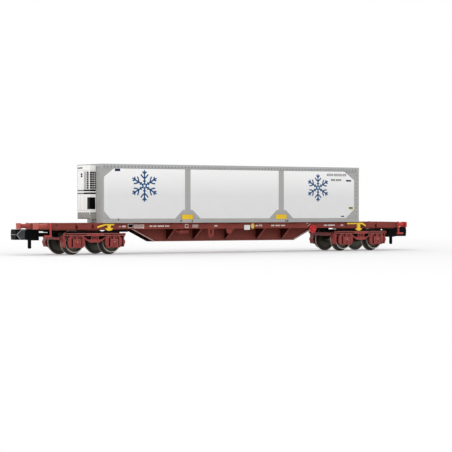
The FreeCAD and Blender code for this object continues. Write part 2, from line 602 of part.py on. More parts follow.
def axle():
    """Axle with a journal at each end, which runs in the axleboxes."""
    shaft = WHEEL_OUTER + 0.1
    tip = FRAME_OUTER - 0.25
    body = rod(AXLE_RADIUS, (0, -shaft, AXLE_Z), (0, shaft, AXLE_Z))
    journals = rod(JOURNAL_RADIUS, (0, -tip, AXLE_Z), (0, tip, AXLE_Z))
    return fuse([body, journals])


# ---- right-hand coupler ----
def coupler():
    """Hook coupler: bevelled head, shank, pivot boss and pin, and a hanging pin."""
    rear, front = COUPLER_REAR, COUPLER_FACE
    drop = front - DROP_PIN_FROM_FACE
    nose_low = COUPLER_BOTTOM + COUPLER_NOSE_LIFT
    outline = [(rear, COUPLER_BOTTOM), (drop - 0.2, COUPLER_BOTTOM), (drop + 1.0, nose_low),
               (front, nose_low), (front, COUPLER_TOP), (rear, COUPLER_TOP)]
    head = plate_xz(outline, -COUPLER_HALF, COUPLER_HALF)
    middle = (nose_low + COUPLER_TOP) / 2
    run, side = 1.15, 0.3
    cuts = []
    for sign in (-1, 1):
        edge = sign * COUPLER_HALF
        for level in (nose_low, COUPLER_TOP):
            cuts.append(corner_wedge((front, edge, level), (front, edge, middle),
                                     (front, edge - sign * side, level), (front - run, edge, level)))
    cuts.append(box(front - 0.15, front + 1, -2, 2, middle - 0.08, middle + 0.08))
    cuts.append(box(rear + 0.9, front - 2.4, -0.95, 0.95, middle + 0.4, COUPLER_TOP + 1))
    head = head.cut(cuts)
    shank = box(COUPLER_X, rear + 0.2, -SHANK_HALF, SHANK_HALF, SHANK_BOTTOM, SHANK_TOP)
    boss = rod(1.15, (COUPLER_X, 0, SHANK_BOTTOM), (COUPLER_X, 0, SHANK_TOP))
    pin = rod(COUPLER_PIN_RADIUS, (COUPLER_X, 0, SHANK_TOP - 0.1), (COUPLER_X, 0, SILL_BOTTOM))
    hanging = rod(DROP_PIN_RADIUS, (drop, 0, DROP_PIN_BOTTOM), (drop, 0, COUPLER_BOTTOM + 0.3))
    tip = [edge for edge in hanging.Edges if edge.CenterOfMass.z < DROP_PIN_BOTTOM + 0.01]
    hanging = hanging.makeFillet(DROP_PIN_RADIUS / 2, tip)
    return fuse([head, shank, boss, pin, hanging])


def coupler_box():
    """Right-hand pocket and lid under the draft sill, round about the coupler's pivot pin."""
    low = SHANK_TOP + 0.1
    high = GIRDER_END_BOTTOM - SEAT_GAP
    block = box(COUPLER_X - POCKET_IN, COUPLER_X, -POCKET_HALF, POCKET_HALF, low, high)
    end = rod(POCKET_HALF, (COUPLER_X, 0, low), (COUPLER_X, 0, high))
    lid = box(COUPLER_X + POCKET_LID_START, HEADSTOCK_X - HEADSTOCK_THICK - SEAT_GAP, -POCKET_LID_HALF,
              POCKET_LID_HALF, high - POCKET_LID_THICK, high)
    lug = box(COUPLER_X, COUPLER_X + POCKET_LUG_END, POCKET_HALF - 0.1,
              POCKET_HALF + POCKET_LUG_WIDTH, low, high)
    bore = rod(COUPLER_PIN_RADIUS + COUPLER_PIN_PLAY, (COUPLER_X, 0, low - 0.1), (COUPLER_X, 0, high + 0.1))
    return fuse([block, end, lid, lug]).cut(bore)


# ---- container ----
def side_wall():
    """Near wall: the sheet behind the panels, which shows between them as the posts."""
    return box(CONTAINER_LEFT, CONTAINER_RIGHT, -WALL_OUTER, -WALL_INNER, PANEL_BOTTOM, PANEL_TOP)


def panel_outlines():
    """The three white panels' outlines in (x, z), cut back at corners and post feet."""
    low, high = PANEL_BOTTOM, PANEL_TOP - 0.1
    half = POST_WIDTH / 2
    left, right = CONTAINER_LEFT + PANEL_MARGIN, CONTAINER_RIGHT - DOOR_POST
    foot, top, lift = GUSSET_RUN, GUSSET_TOP, low + GUSSET_RISE
    a, b = POST_LEFT - half, POST_LEFT + half
    c, d = POST_RIGHT - half, POST_RIGHT + half
    first = [(left, low + 2.1), (left + 2.0, low), (a - foot, low), (a - top, lift), (a, lift),
             (a, high), (left + 3.05, high), (left, high - 2.35)]
    second = [(b, lift), (b + top, lift), (b + foot, low), (c - foot, low), (c - top, lift), (c, lift),
              (c, high), (b, high)]
    third = [(d, lift), (d + top, lift), (d + foot, low), (right - 2.9, low), (right, low + 2.6),
             (right, high - 2.5), (right - 3.6, high), (d, high)]
    return [first, second, third]


def side_panels():
    """Near white panels, a little proud of the wall."""
    outer = -WALL_OUTER - PANEL_PROUD + SEAT_GAP
    return [plate_xz(outline, outer, -WALL_OUTER - SEAT_GAP / 2) for outline in panel_outlines()]


def top_rail():
    """Near top rail along the whole container, with a rounded upper edge."""
    rail = box(CONTAINER_LEFT, CONTAINER_RIGHT, -CONTAINER_HALF, -WALL_INNER,
               PANEL_TOP + SEAT_GAP, CONTAINER_TOP)
    edge = [e for e in rail.Edges if abs(e.tangentAt(0).x) > 0.9
            and e.CenterOfMass.z > CONTAINER_TOP - 0.01 and e.CenterOfMass.y < -CONTAINER_HALF + 0.01]
    return rail.makeFillet(0.25, edge)


def bottom_rail():
    """Far bottom rail, from the set-back front to the door end."""
    rail = box(BASE_LEFT, CONTAINER_RIGHT, WALL_INNER, CONTAINER_HALF,
               CONTAINER_BOTTOM, PANEL_BOTTOM - SEAT_GAP)
    return rail.cut(spigot_holes())


def corner_foot():
    """Near front corner's foot, which carries the near bottom rail on to the front wall."""
    return box(CONTAINER_LEFT, BASE_LEFT - SEAT_GAP, -CONTAINER_HALF, CORNER_FOOT - CONTAINER_HALF,
               CONTAINER_BOTTOM, PANEL_BOTTOM - SEAT_GAP)


def roof():
    """Roof sheet between the top rails, with shallow grooves across it."""
    reach = WALL_INNER - SEAT_GAP
    x0, x1 = CONTAINER_LEFT + WALL + SEAT_GAP, CONTAINER_RIGHT - DOOR_THICK - SEAT_GAP
    top = CONTAINER_TOP - ROOF_DROP
    sheet = box(x0, x1, -reach, reach, top - ROOF_THICK, top)
    pitch = (x1 - x0) / ROOF_GROOVES
    grooves = []
    for i in range(ROOF_GROOVES):
        start = x0 + (i + 0.5) * pitch - ROOF_GROOVE_WIDTH / 2
        grooves.append(box(start, start + ROOF_GROOVE_WIDTH, -reach + 0.8, reach - 0.8,
                           top - ROOF_GROOVE_DEPTH, top + 1))
    return sheet.cut(grooves)


def floor():
    """Container floor between the bottom rails, with holes over the deck's spigots."""
    reach = WALL_INNER - SEAT_GAP
    low = CONTAINER_BOTTOM
    sheet = box(BASE_LEFT, CONTAINER_RIGHT - DOOR_THICK - SEAT_GAP, -reach, reach, low, low + FLOOR_THICK)
    return sheet.cut(spigot_holes())


def front_wall():
    """Front wall with a corner post each side and a sill that steps back to the base."""
    reach = WALL_INNER - SEAT_GAP
    inner = CONTAINER_LEFT + WALL
    panel = box(CONTAINER_LEFT + FRONT_RECESS, inner, -reach, reach, PANEL_BOTTOM, CONTAINER_TOP)
    header = box(CONTAINER_LEFT, inner, -reach, reach, CONTAINER_TOP - 0.9, CONTAINER_TOP)
    post_inner = CONTAINER_HALF - FRONT_POST
    posts = [box(CONTAINER_LEFT, inner, side * post_inner, side * reach, PANEL_BOTTOM, CONTAINER_TOP)
             for side in (-1, 1)]
    sill = box(CONTAINER_LEFT, BASE_LEFT + 0.5, -reach, reach, PANEL_BOTTOM, PANEL_BOTTOM + 0.5)
    seat = box(CONTAINER_LEFT, inner, -UNIT_HALF - TANK_PROUD, UNIT_HALF + TANK_PROUD,
               TANK_BOTTOM, UNIT_TOP)
    return fuse([panel, header, sill, seat] + posts)


def rear_door(side):
    """One leaf of the door pair at the right-hand end, moulded shut."""
    edge = WALL_INNER - SEAT_GAP
    x0, x1 = CONTAINER_RIGHT - DOOR_THICK, CONTAINER_RIGHT
    return box(x0, x1, side * DOOR_GAP / 2, side * edge, CONTAINER_BOTTOM + 0.3, CONTAINER_TOP)


def lock_rods():
    """Four door lock rods with their cams and handles."""
    x = CONTAINER_RIGHT + LOCK_ROD + SEAT_GAP
    low, high = CONTAINER_BOTTOM + 0.7, CONTAINER_TOP - 0.6
    rods = []
    for y in (-5.2, -2.1, 2.1, 5.2):
        bar = rod(LOCK_ROD, (x, y, low), (x, y, high))
        keeps = [box(x - LOCK_ROD, x + LOCK_ROD, y - 0.4, y + 0.4, z, z + 0.5)
                 for z in (low, low + 4.5, high - 5.0, high - 0.5)]
        handle = box(x - LOCK_ROD, x + LOCK_ROD, y, y + (1.3 if y < 0 else -1.3), low + 5.0, low + 5.35)
        rods.append(fuse([bar, handle] + keeps))
    return rods


def reefer_unit():
    """Refrigeration unit on the front wall: grille and window recesses wrap its near corner."""
    body = box(UNIT_FRONT, CONTAINER_LEFT - SEAT_GAP, -UNIT_HALF, UNIT_HALF, UNIT_BOTTOM, UNIT_TOP)
    upright = [e for e in body.Edges if abs(e.tangentAt(0).z) > 0.9
               and e.CenterOfMass.x < UNIT_FRONT + 0.01]
    top = [e for e in body.Edges if abs(e.tangentAt(0).y) > 0.9 and e.CenterOfMass.x < UNIT_FRONT + 0.01
           and e.CenterOfMass.z > UNIT_TOP - 0.01]
    body = body.makeFillet(UNIT_EDGE, upright + top)
    deep = GRILLE_DEPTH
    sill = UNIT_BOTTOM + WINDOW_BOTTOM
    low, high = sill + WINDOW_HEIGHT + STRIPE_BAND, UNIT_TOP - GRILLE_TOP
    front_grille = box(UNIT_FRONT - 1, UNIT_FRONT + deep, -UNIT_HALF + 0.45, -0.35, low, high)
    side_grille = box(UNIT_FRONT + 0.4, CONTAINER_LEFT - 0.15, -UNIT_HALF - 1, -UNIT_HALF + deep, low, high)
    front_window = box(UNIT_FRONT - 1, UNIT_FRONT + deep, -UNIT_HALF - 1, -UNIT_HALF + WINDOW_FRONT,
                       sill, sill + WINDOW_HEIGHT)
    side_window = box(UNIT_FRONT - 1, UNIT_FRONT + WINDOW_SIDE, -UNIT_HALF - 1, -UNIT_HALF + deep,
                      sill, sill + WINDOW_HEIGHT)
    return body.cut([front_grille, side_grille, front_window, side_window])


def reefer_tank():
    """Lower tank and compressor box under the unit, with rounded front corners."""
    half = UNIT_HALF + TANK_PROUD
    body = box(UNIT_FRONT, CONTAINER_LEFT - SEAT_GAP, -half, half, TANK_BOTTOM, UNIT_BOTTOM - SEAT_GAP)
    front = [e for e in body.Edges if e.CenterOfMass.x < UNIT_FRONT + 0.01
             and (abs(e.tangentAt(0).z) > 0.9 or e.CenterOfMass.z < TANK_BOTTOM + 0.01)]
    return body.makeFillet(0.3, front)


def spigot_places():
    """The four container spigots on the side sills' top flanges."""
    y = SILL_OUTER - SILL_FLANGE / 2
    return [(x, s * y) for x in (BASE_LEFT + SPIGOT_IN, CONTAINER_RIGHT - SPIGOT_IN) for s in (-1, 1)]


def spigot_holes():
    """Clearance holes for the spigots, through the container's floor and bottom rails."""
    low = CONTAINER_BOTTOM - 0.1
    high = SILL_TOP + SPIGOT_HEIGHT + FLOOR_THICK
    return [rod(SPIGOT_RADIUS + SPIGOT_PLAY, (x, y, low), (x, y, high)) for x, y in spigot_places()]


def spigots():
    """Pins with a chamfered tip that stand on the sills and locate the container."""
    pins = []
    tip = SILL_TOP + SPIGOT_HEIGHT
    for x, y in spigot_places():
        pin = rod(SPIGOT_RADIUS, (x, y, SILL_TOP), (x, y, tip - 0.1))
        cone = Part.makeCone(SPIGOT_RADIUS, SPIGOT_RADIUS * 0.6, 0.1, Vector(x, y, tip - 0.1))
        pins.append(fuse([pin, cone]))
    return pins


def build_underframe():
    sill = side_sill()
    save("side_sill_near", sill)
    save("side_sill_far", flip_y(sill))
    save("centre_girder", centre_girder())
    ribs = [cross_rib(x) for x in (-RIB_X, -SECOND_RIB_X, 0, SECOND_RIB_X, RIB_X)]
    save("cross_ribs", *ribs, *[flip_y(rib) for rib in ribs])
    bars = [cross_bar(sign * x) for sign in (-1, 1) for x in (BELLY_X + 3.5, SLANT_X + 4.5)]
    save("cross_bars", *bars, *[flip_y(bar) for bar in bars])
    for end, place in (("right", lambda shape: shape), ("left", flip_x)):
        save("draft_sill_" + end, place(draft_sill()))
        save("body_bolster_" + end, place(body_bolster()))
        save("end_deck_" + end, place(end_deck()))
        save("headstock_" + end, place(headstock()))
        save("buffer_" + end + "_near", place(buffer(-1)))
        save("buffer_" + end + "_far", place(buffer(1)))
        step = place(corner_step())
        save("corner_steps_" + end, step, flip_y(step))
        save("coupler_box_" + end, place(coupler_box()))
        save("coupler_" + end, place(coupler()))


def build_fittings():
    left = changeover_lever(-PIVOT_X + LEVER_LEFT_IN, 1.5, -3.6, 0.4)
    right = changeover_lever(PIVOT_X - LEVER_RIGHT_IN, -4.2, 2.5, 0.9)
    save("changeover_levers_near", left, right)
    save("changeover_levers_far", half_turn(left), half_turn(right))
    save("hand_wheel_near", hand_wheel())
    save("hand_wheel_far", flip_y(hand_wheel()))
    save("brake_cylinders", brake_cylinder(), half_turn(brake_cylinder()))
    hangers = brake_hangers()
    save("brake_hangers", *hangers, *[half_turn(piece) for piece in hangers])
    save("data_plates", data_plate(), half_turn(data_plate()))
    save("spigots", *spigots())


def build_bogies():
    frame = side_frame()
    number = 1
    for end, x in (("left", -PIVOT_X), ("right", PIVOT_X)):
        beams = end_beams() if end == "right" else [flip_x(beam) for beam in end_beams()]
        save("bogie_" + end + "_frame_near", shift(frame, x), *[shift(beam, x) for beam in beams])
        save("bogie_" + end + "_frame_far", shift(flip_y(frame), x))
        save("bogie_" + end + "_bolster", shift(bogie_bolster(), x))
        for side in (-1, 1):
            centre = x + side * WHEELBASE / 2
            save("axle_" + str(number), shift(axle(), centre))
            save("wheels_" + str(number), *[shift(wheel, centre) for wheel in wheel_pair()])
            number += 1


def build_container():
    wall, rail, sill = side_wall(), top_rail(), bottom_rail()
    save("container_side_near", wall)
    save("container_side_far", flip_y(wall))
    save("container_panels_near", *side_panels())
    save("container_panels_far", *[flip_y(panel) for panel in side_panels()])
    save("container_top_rails", rail, flip_y(rail))
    save("container_bottom_rails", sill, flip_y(sill), corner_foot())
    save("container_roof", roof())
    save("container_floor", floor())
    save("container_front_wall", front_wall())
    save("rear_door_near", rear_door(-1))
    save("rear_door_far", rear_door(1))
    save("door_lock_rods", *lock_rods())
    save("reefer_unit", reefer_unit())
    save("reefer_tank", reefer_tank())


os.makedirs("parts", exist_ok=True)
build_underframe()
build_fittings()
build_bogies()
build_container()
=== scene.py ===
import math

import bmesh
import bpy
from mathutils import Matrix, Vector


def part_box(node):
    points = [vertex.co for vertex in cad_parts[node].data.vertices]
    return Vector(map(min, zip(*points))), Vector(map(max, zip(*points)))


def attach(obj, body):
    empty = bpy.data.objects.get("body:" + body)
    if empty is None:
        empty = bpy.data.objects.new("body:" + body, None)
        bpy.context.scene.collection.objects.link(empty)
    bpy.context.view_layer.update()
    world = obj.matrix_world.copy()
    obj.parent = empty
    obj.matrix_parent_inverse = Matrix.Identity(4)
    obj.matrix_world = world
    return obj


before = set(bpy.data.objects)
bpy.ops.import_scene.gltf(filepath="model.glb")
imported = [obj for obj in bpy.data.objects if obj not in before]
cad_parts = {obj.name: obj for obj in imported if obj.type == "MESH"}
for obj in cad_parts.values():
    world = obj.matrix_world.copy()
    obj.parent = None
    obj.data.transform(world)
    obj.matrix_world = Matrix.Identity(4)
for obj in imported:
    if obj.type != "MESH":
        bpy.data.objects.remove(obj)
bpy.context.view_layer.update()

# The looks of the container flatcar. Shapes are written in millimetres, like the CAD, and
# become metres when a piece is made.
MM = 0.001
NO_TURN = Matrix.Identity(4)
HALF_TURN = Matrix.Rotation(math.pi, 4, "Z")
NEAR, FAR = (0, -1, 0), (0, 1, 0)  # ways out of the two long sides
MIRROR_X = Matrix.Diagonal((-1, 1, 1, 1))
MIRROR_Y = Matrix.Diagonal((1, -1, 1, 1))


def at(node):
    """Low and high X, Y and Z of a CAD node, in millimetres."""
    low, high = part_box(node)
    return [value / MM for pair in zip(low, high) for value in pair]


# ---- materials ----
GRIME_AND_SHADE_REACH = 1.1  # mm from a corner over which grime and painted shade darken it
GRIME_AND_SHADE_KEEP = 0.35  # share of its own colour that a corner darkened by grime and painted shade keeps
GRAIN = 3200.0  # scale of the fine noise
GRAIN_DEPTH = 0.02  # mm of relief in the fine grain
RAYS = 6  # rays of each test for a corner or an edge


def srgb(red, green, blue):
    """Linear colour from the 0 to 255 values that it should render as."""
    linear = []
    for value in (red, green, blue):
        c = value / 255
        linear.append(c / 12.92 if c <= 0.04045 else ((c + 0.055) / 1.055) ** 2.4)
    return (*linear, 1.0)


class Graph:
    """Node tree of a new material or world, with short calls for the nodes used here."""

    def __init__(self, owner):
        owner.use_nodes = True
        self.owner, tree = owner, owner.node_tree
        self.nodes, self.links = tree.nodes, tree.links
        self.nodes.clear()

    def add(self, kind, inputs=(), **settings):
        """New node. Each input is a value or another node's socket."""
        node = self.nodes.new("ShaderNode" + kind)
        for key, value in settings.items():
            setattr(node, key, value)
        for key, value in dict(inputs).items():
            if isinstance(value, bpy.types.NodeSocket):
                self.links.new(value, node.inputs[key])
            else:
                node.inputs[key].default_value = value
        return node

    def mix(self, factor, a, b):
        """Colour mix. Sockets 6 and 7 are its two colours and output 2 is its result."""
        return self.add("Mix", {0: factor, 6: a, 7: b}, data_type="RGBA").outputs[2]

    def span(self, value, low, high, from_low=0.0, from_high=1.0):
        """Value mapped from one range to another."""
        inputs = {0: value, 1: from_low, 2: from_high, 3: low, 4: high}
        return self.add("MapRange", inputs).outputs[0]

    def noise(self, vector, scale, detail=3.0):
        return self.add("TexNoise", {"Vector": vector, "Scale": scale, "Detail": detail}).outputs[0]


def toned(color, factor, lift=0.0):
    """Colour made darker or lighter."""
    return tuple(min(1.0, factor * c + lift) for c in color[:3]) + (1.0,)


def surface(name, color, rough=0.5, vary=0.08, patch=260.0, bump=0.12, metal=0.0, specular=0.4,
            grime_and_shade=0.45, edge_wear_and_highlight=0.25, worn=None, radius=0.06, zones=None):
    """Moulded or painted surface: mottled colour, grime and painted shade in corners, edges lightened by
    wear and painted highlights, fine grain.
    """
    g = Graph(bpy.data.materials.new(name))
    color = srgb(*color)
    place = g.add("TexCoord").outputs["Object"]
    broad = g.noise(place, patch)
    fine = g.noise(place, GRAIN, 4.0)
    speck = g.noise(place, GRAIN * 0.28, 5.0)
    low, high = toned(color, 1 - vary), toned(color, 1 + vary)
    tone = g.mix(g.span(broad, 0, 1, 0.3, 0.7), low, high)
    tone = g.mix(g.span(speck, 0, vary * 2, 0.45, 0.75), tone, low)
    if zones:
        tone = zones(g, place, tone)
    # Corners darken with grime, and with painted shade where light is blocked.
    corner = g.add("AmbientOcclusion", {"Distance": GRIME_AND_SHADE_REACH * MM}, samples=RAYS).outputs["AO"]
    tone = g.mix(g.span(corner, grime_and_shade, 0, 0.25, 0.85), tone, toned(color, GRIME_AND_SHADE_KEEP))
    # Edges lighten with wear, and with painted highlights where light would catch them.
    rounded = g.add("Bevel", {"Radius": radius * MM}, samples=RAYS).outputs[0]
    flat = g.add("NewGeometry").outputs["Normal"]
    turn = g.add("VectorMath", {0: rounded, 1: flat}, operation="DOT_PRODUCT").outputs["Value"]
    edge = g.span(turn, edge_wear_and_highlight, 0, 0.8, 0.99)
    light = srgb(*worn) if worn else toned(color, 0.75, 0.22)
    tone = g.mix(edge, tone, light)
    relief = g.add("Bump", {"Strength": bump, "Distance": GRAIN_DEPTH * MM, "Height": fine,
                            "Normal": rounded})
    roughness = g.span(speck, rough - 0.07, rough + 0.07, 0.3, 0.7)
    shader = g.add("BsdfPrincipled", {
        "Base Color": tone, "Metallic": metal, "Roughness": roughness, "Normal": relief.outputs[0],
        "Specular IOR Level": specular})
    g.add("OutputMaterial", {0: shader.outputs[0]})
    return g.owner


def by_height(low, high, share_low, share_high, color):
    """Second colour whose share goes from one value to another between two heights in mm."""
    def paint(g, place, tone):
        height = g.add("SeparateXYZ", {0: place}).outputs["Z"]
        return g.mix(g.span(height, share_low, share_high, low * MM, high * MM), tone, color)
    return paint


# Painted sheen: the panels' white is painted lighter toward the top, where the light falls more strongly.
PAINTED_TOP_SHEEN = by_height(16.2, 23.8, 0, 1, srgb(254, 254, 253))
# The girder's red turns lighter toward the bottom.
LIGHTER_BELOW = by_height(3.5, 6.6, 0.62, 0, srgb(158, 86, 76))
PAINTS = {
    "oxide_red": surface(
        "oxide_red_paint", (134, 62, 54), rough=0.6, specular=0.15, vary=0.1, worn=(186, 122, 112)),
    "bogie_red": surface(
        "bogie_red_paint", (148, 60, 56), specular=0.25, grime_and_shade=1.0, vary=0.16, edge_wear_and_highlight=0.75,
        worn=(204, 124, 116), radius=0.09),
    "buffer_red": surface("buffer_red_paint", (184, 90, 80), specular=0.2, worn=(214, 132, 122)),
    "black_plastic": surface(
        "coupler_black_plastic", (6, 6, 7), vary=0.2, specular=0.05, edge_wear_and_highlight=0.7, worn=(112, 113, 114),
        radius=0.09),
    "axle_steel": surface("axle_turned_steel", (120, 116, 110), rough=0.35, metal=1.0),
    "wheel_metal": surface("wheel_blackened_metal", (74, 66, 58), rough=0.38, metal=0.6),
    "lever_yellow": surface("lever_yellow_paint", (248, 202, 48), rough=0.4, vary=0.05),
    "wheel_red": surface(
        "hand_wheel_red_paint", (214, 34, 38), rough=0.4, vary=0.06, worn=(240, 96, 90)),
    "plate_white": surface("data_plate_white", (232, 232, 230), rough=0.4, vary=0.02),
    "panel_white": surface(
        "panel_printed_white", (231, 231, 231), rough=0.36, vary=0.012, grime_and_shade=0.25, bump=0.05,
        zones=PAINTED_TOP_SHEEN),
    "unit_white": surface(
        "unit_moulded_white", (252, 252, 249), rough=0.4, vary=0.01, grime_and_shade=0.2, bump=0.05, radius=0.02),
    "tank_grey": surface("tank_grey_plastic", (158, 157, 152), vary=0.05, edge_wear_and_highlight=0.1),
    "rail_grey": surface(
        "rail_grey_paint", (180, 181, 181), rough=0.55, vary=0.03, specular=0.2, grime_and_shade=0.25,
        worn=(196, 197, 197)),
    "container_grey": surface(
        "container_grey_paint", (175, 175, 173), rough=0.55, vary=0.03, specular=0.2, grime_and_shade=0.25,
        worn=(184, 185, 186)),
}


# Radii in mm between which a wheel's face turns to the tyre in painted shade, to the flange and to the
# painted highlight at the flange's rim.
TO_TYRE_SHADE, TO_FLANGE, TO_FLANGE_HIGHLIGHT = (2.35, 2.5), (2.96, 3.06), (3.26, 3.34)


def wheel_zones(x, z):
    """Turned wheel in fine rings: olive-grey face, tyre in painted shade, and a brown flange with a
    painted highlight round its rim.
    """
    def paint(g, place, _):
        hub = (x * MM, 0, z * MM)
        across = g.add("VectorMath", {0: place, 1: hub}, operation="SUBTRACT").outputs[0]
        flat = g.add("VectorMath", {0: across, 1: (1, 0, 1)}, operation="MULTIPLY").outputs[0]
        radius = g.add("VectorMath", {0: flat}, operation="LENGTH").outputs["Value"]
        rings = g.add("TexNoise", {"W": radius, "Scale": 14000.0, "Detail": 2.0},
                      noise_dimensions="1D").outputs[0]
        tone = g.mix(rings, srgb(66, 64, 55), srgb(98, 94, 80))
        tyre_shade = g.mix(rings, srgb(32, 31, 28), srgb(58, 55, 50))
        flange = g.mix(rings, srgb(52, 48, 42), srgb(84, 77, 68))
        flange_highlight = g.mix(rings, srgb(150, 138, 122), srgb(196, 182, 164))
        for (start, end), color in ((TO_TYRE_SHADE, tyre_shade), (TO_FLANGE, flange), (TO_FLANGE_HIGHLIGHT, flange_highlight)):
            tone = g.mix(g.span(radius, 0, 1, start * MM, end * MM), tone, color)
        return tone
    return paint


GIRDER = surface("girder_oxide_red_paint", (134, 62, 53), rough=0.6, specular=0.15, edge_wear_and_highlight=0.85,
                 worn=(176, 140, 136), radius=0.12, zones=LIGHTER_BELOW)
STEP_RED = surface("corner_step_red_paint", (176, 70, 64), specular=0.2,
                   worn=(206, 120, 112))
# A more saturated copy of the buffer red for the right end, painted for how the light falls there.
RIGHT_BUFFER_RELIT = surface("buffer_red_relit_right", (200, 66, 58), specular=0.2,
                        worn=(220, 124, 114))
for node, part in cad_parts.items():
    for slot in part.material_slots:
        slot.material = PAINTS[slot.material.name.split(".")[0]]
    if node in ("centre_girder", "cross_ribs"):
        part.material_slots[0].material = GIRDER
    if node.startswith("corner_steps"):
        part.material_slots[0].material = STEP_RED
    if node.startswith("buffer_right"):
        part.material_slots[0].material = RIGHT_BUFFER_RELIT
    if node.startswith("wheels"):
        low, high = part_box(node)
        hub = ((low[0] + high[0]) / 2 / MM, (low[2] + high[2]) / 2 / MM)
        part.material_slots[0].material = surface(
            node + "_turned_metal", (74, 66, 58), rough=0.4, metal=0.35,
            zones=wheel_zones(*hub), grime_and_shade=0.5)


# ---- shapes ----
def circles(profile, base, axis, sides):
    """Circles of points about an axis, from (distance along it, radius) pairs."""
    axis = Vector(axis).normalized()
    across = axis.orthogonal().normalized()
    up = axis.cross(across)
    points = []
    for along, radius in profile:
        for i in range(sides):
            turn = 2 * math.pi * i / sides
            ring = across * math.cos(turn) + up * math.sin(turn)
            points.append(Vector(base) + axis * along + ring * max(radius, 0.0005))
    return points


def walls(rows, sides, closed=False):
    """Faces between rows of points that go round, capped at both ends unless they close."""
    faces = []
    for row in range(rows if closed else rows - 1):
        a, b = row * sides, (row + 1) % rows * sides
        faces += [(a + i, a + (i + 1) % sides, b + (i + 1) % sides, b + i) for i in range(sides)]
    last = (rows - 1) * sides
    return faces if closed else faces + [range(sides), range(last, last + sides)]


class Shape:
    """Closed meshes of one piece, put together in millimetres."""

    def __init__(self):
        self.points, self.faces = [], []

    def mesh(self, points, faces):
        start = len(self.points)
        self.points += [Vector(point) for point in points]
        self.faces += [[start + i for i in face] for face in faces]
        return self

    def copy(self, matrix):
        made = Shape()
        made.points = [matrix @ point for point in self.points]
        made.faces = [list(face) for face in self.faces]
        return made

    def __add__(self, other):
        made = Shape()
        return made.mesh(self.points, self.faces).mesh(other.points, other.faces)

    def prism(self, outline, axis, low, high):
        """Outline across an axis, solid from low to high along it."""
        place = {"x": lambda u, v, w: (w, u, v), "y": lambda u, v, w: (u, w, v),
                 "z": lambda u, v, w: (u, v, w)}[axis]
        points = [place(u, v, w) for w in (low, high) for u, v in outline]
        return self.mesh(points, walls(2, len(outline)))

    def block(self, x0, x1, y0, y1, z0, z1, chamfer=0.0):
        """Box, with its twelve edges cut off where a chamfer is given."""
        bm = bmesh.new()
        bmesh.ops.create_cube(bm, size=1)
        middle = Vector(((x0 + x1) / 2, (y0 + y1) / 2, (z0 + z1) / 2))
        size = Vector((abs(x1 - x0), abs(y1 - y0), abs(z1 - z0)))
        for vert in bm.verts:
            vert.co = middle + vert.co * size
        if chamfer:
            bmesh.ops.bevel(bm, geom=bm.edges[:], offset=min(chamfer, min(size) * 0.35), segments=1,
                            affect="EDGES")
        points = [vert.co.copy() for vert in bm.verts]
        faces = [[vert.index for vert in face.verts] for face in bm.faces]
        bm.free()
        return self.mesh(points, faces)

    def turned(self, profile, base, axis, sides=16):
        """Profile of (distance along the axis, radius) pairs turned about the axis."""
        return self.mesh(circles(profile, base, axis, sides), walls(len(profile), sides))

    def rod(self, a, b, radius, sides=12):
        """Round bar between two points with chamfered ends."""
        length = (Vector(b) - Vector(a)).length
        edge = min(radius * 0.25, length * 0.2)
        profile = [(0, radius - edge), (edge, radius), (length - edge, radius), (length, radius - edge)]
        return self.turned(profile, a, Vector(b) - Vector(a), sides)

    def pipe(self, path, radius, sides=10):
        """Bent round bar along a row of points."""
        path = [Vector(point) for point in path]
        points = []
        for i, point in enumerate(path):
            ahead = (path[min(i + 1, len(path) - 1)] - path[max(i - 1, 0)]).normalized()
            level = Vector((0, 0, 1)) if abs(ahead.z) < 0.9 else Vector((0, 1, 0))
            side = ahead.cross(level).normalized()
            over = side.cross(ahead)
            for j in range(sides):
                turn = 2 * math.pi * j / sides
                points.append(point + (side * math.cos(turn) + over * math.sin(turn)) * radius)
        return self.mesh(points, walls(len(path), sides))

    def dome(self, base, axis, radius, height, sides=10):
        """Rivet or bolt head that stands on a face."""
        profile = [(-0.02, radius), (height * 0.45, radius * 0.92), (height * 0.85, radius * 0.6),
                   (height, radius * 0.2)]
        return self.turned(profile, base, axis, sides)

    def bolt(self, base, axis, radius, height):
        """Hexagon head with a chamfered top."""
        profile = [(-0.02, radius), (height * 0.75, radius), (height, radius * 0.75)]
        return self.turned(profile, base, axis, 6)

    def ring(self, base, axis, inner, outer, height, sides=32):
        """Flat washer with chamfered edges."""
        profile = [(-0.01, inner), (-0.01, outer), (height * 0.6, outer), (height, outer - height * 0.4),
                   (height, inner + height * 0.4), (height * 0.6, inner)]
        return self.mesh(circles(profile, base, axis, sides), walls(len(profile), sides, closed=True))

    def stroke(self, a, b, width, y0, y1):
        """Flat bar on a side face, from a to b in X and Z."""
        (ax, az), (bx, bz) = a, b
        length = math.hypot(bx - ax, bz - az)
        u, w = (bz - az) / length * width / 2, -(bx - ax) / length * width / 2
        corners = [(ax + u, az + w), (bx + u, bz + w), (bx - u, bz - w), (ax - u, az - w)]
        return self.prism(corners, "y", y0, y1)

    def frame(self, x0, x1, z0, z1, bar, y0, y1):
        """Rectangular outline on a side face."""
        self.block(x0, x1, y0, y1, z0, z0 + bar)
        self.block(x0, x1, y0, y1, z1 - bar, z1)
        self.block(x0, x0 + bar, y0, y1, z0 + bar, z1 - bar)
        return self.block(x1 - bar, x1, y0, y1, z0 + bar, z1 - bar)


def both_sides(shape):
    """The shape and its mirror image on the wagon's other side."""
    return shape + shape.copy(MIRROR_Y)


def turned_too(shape):
    """The shape and its copy half a turn round."""
    return shape + shape.copy(HALF_TURN)


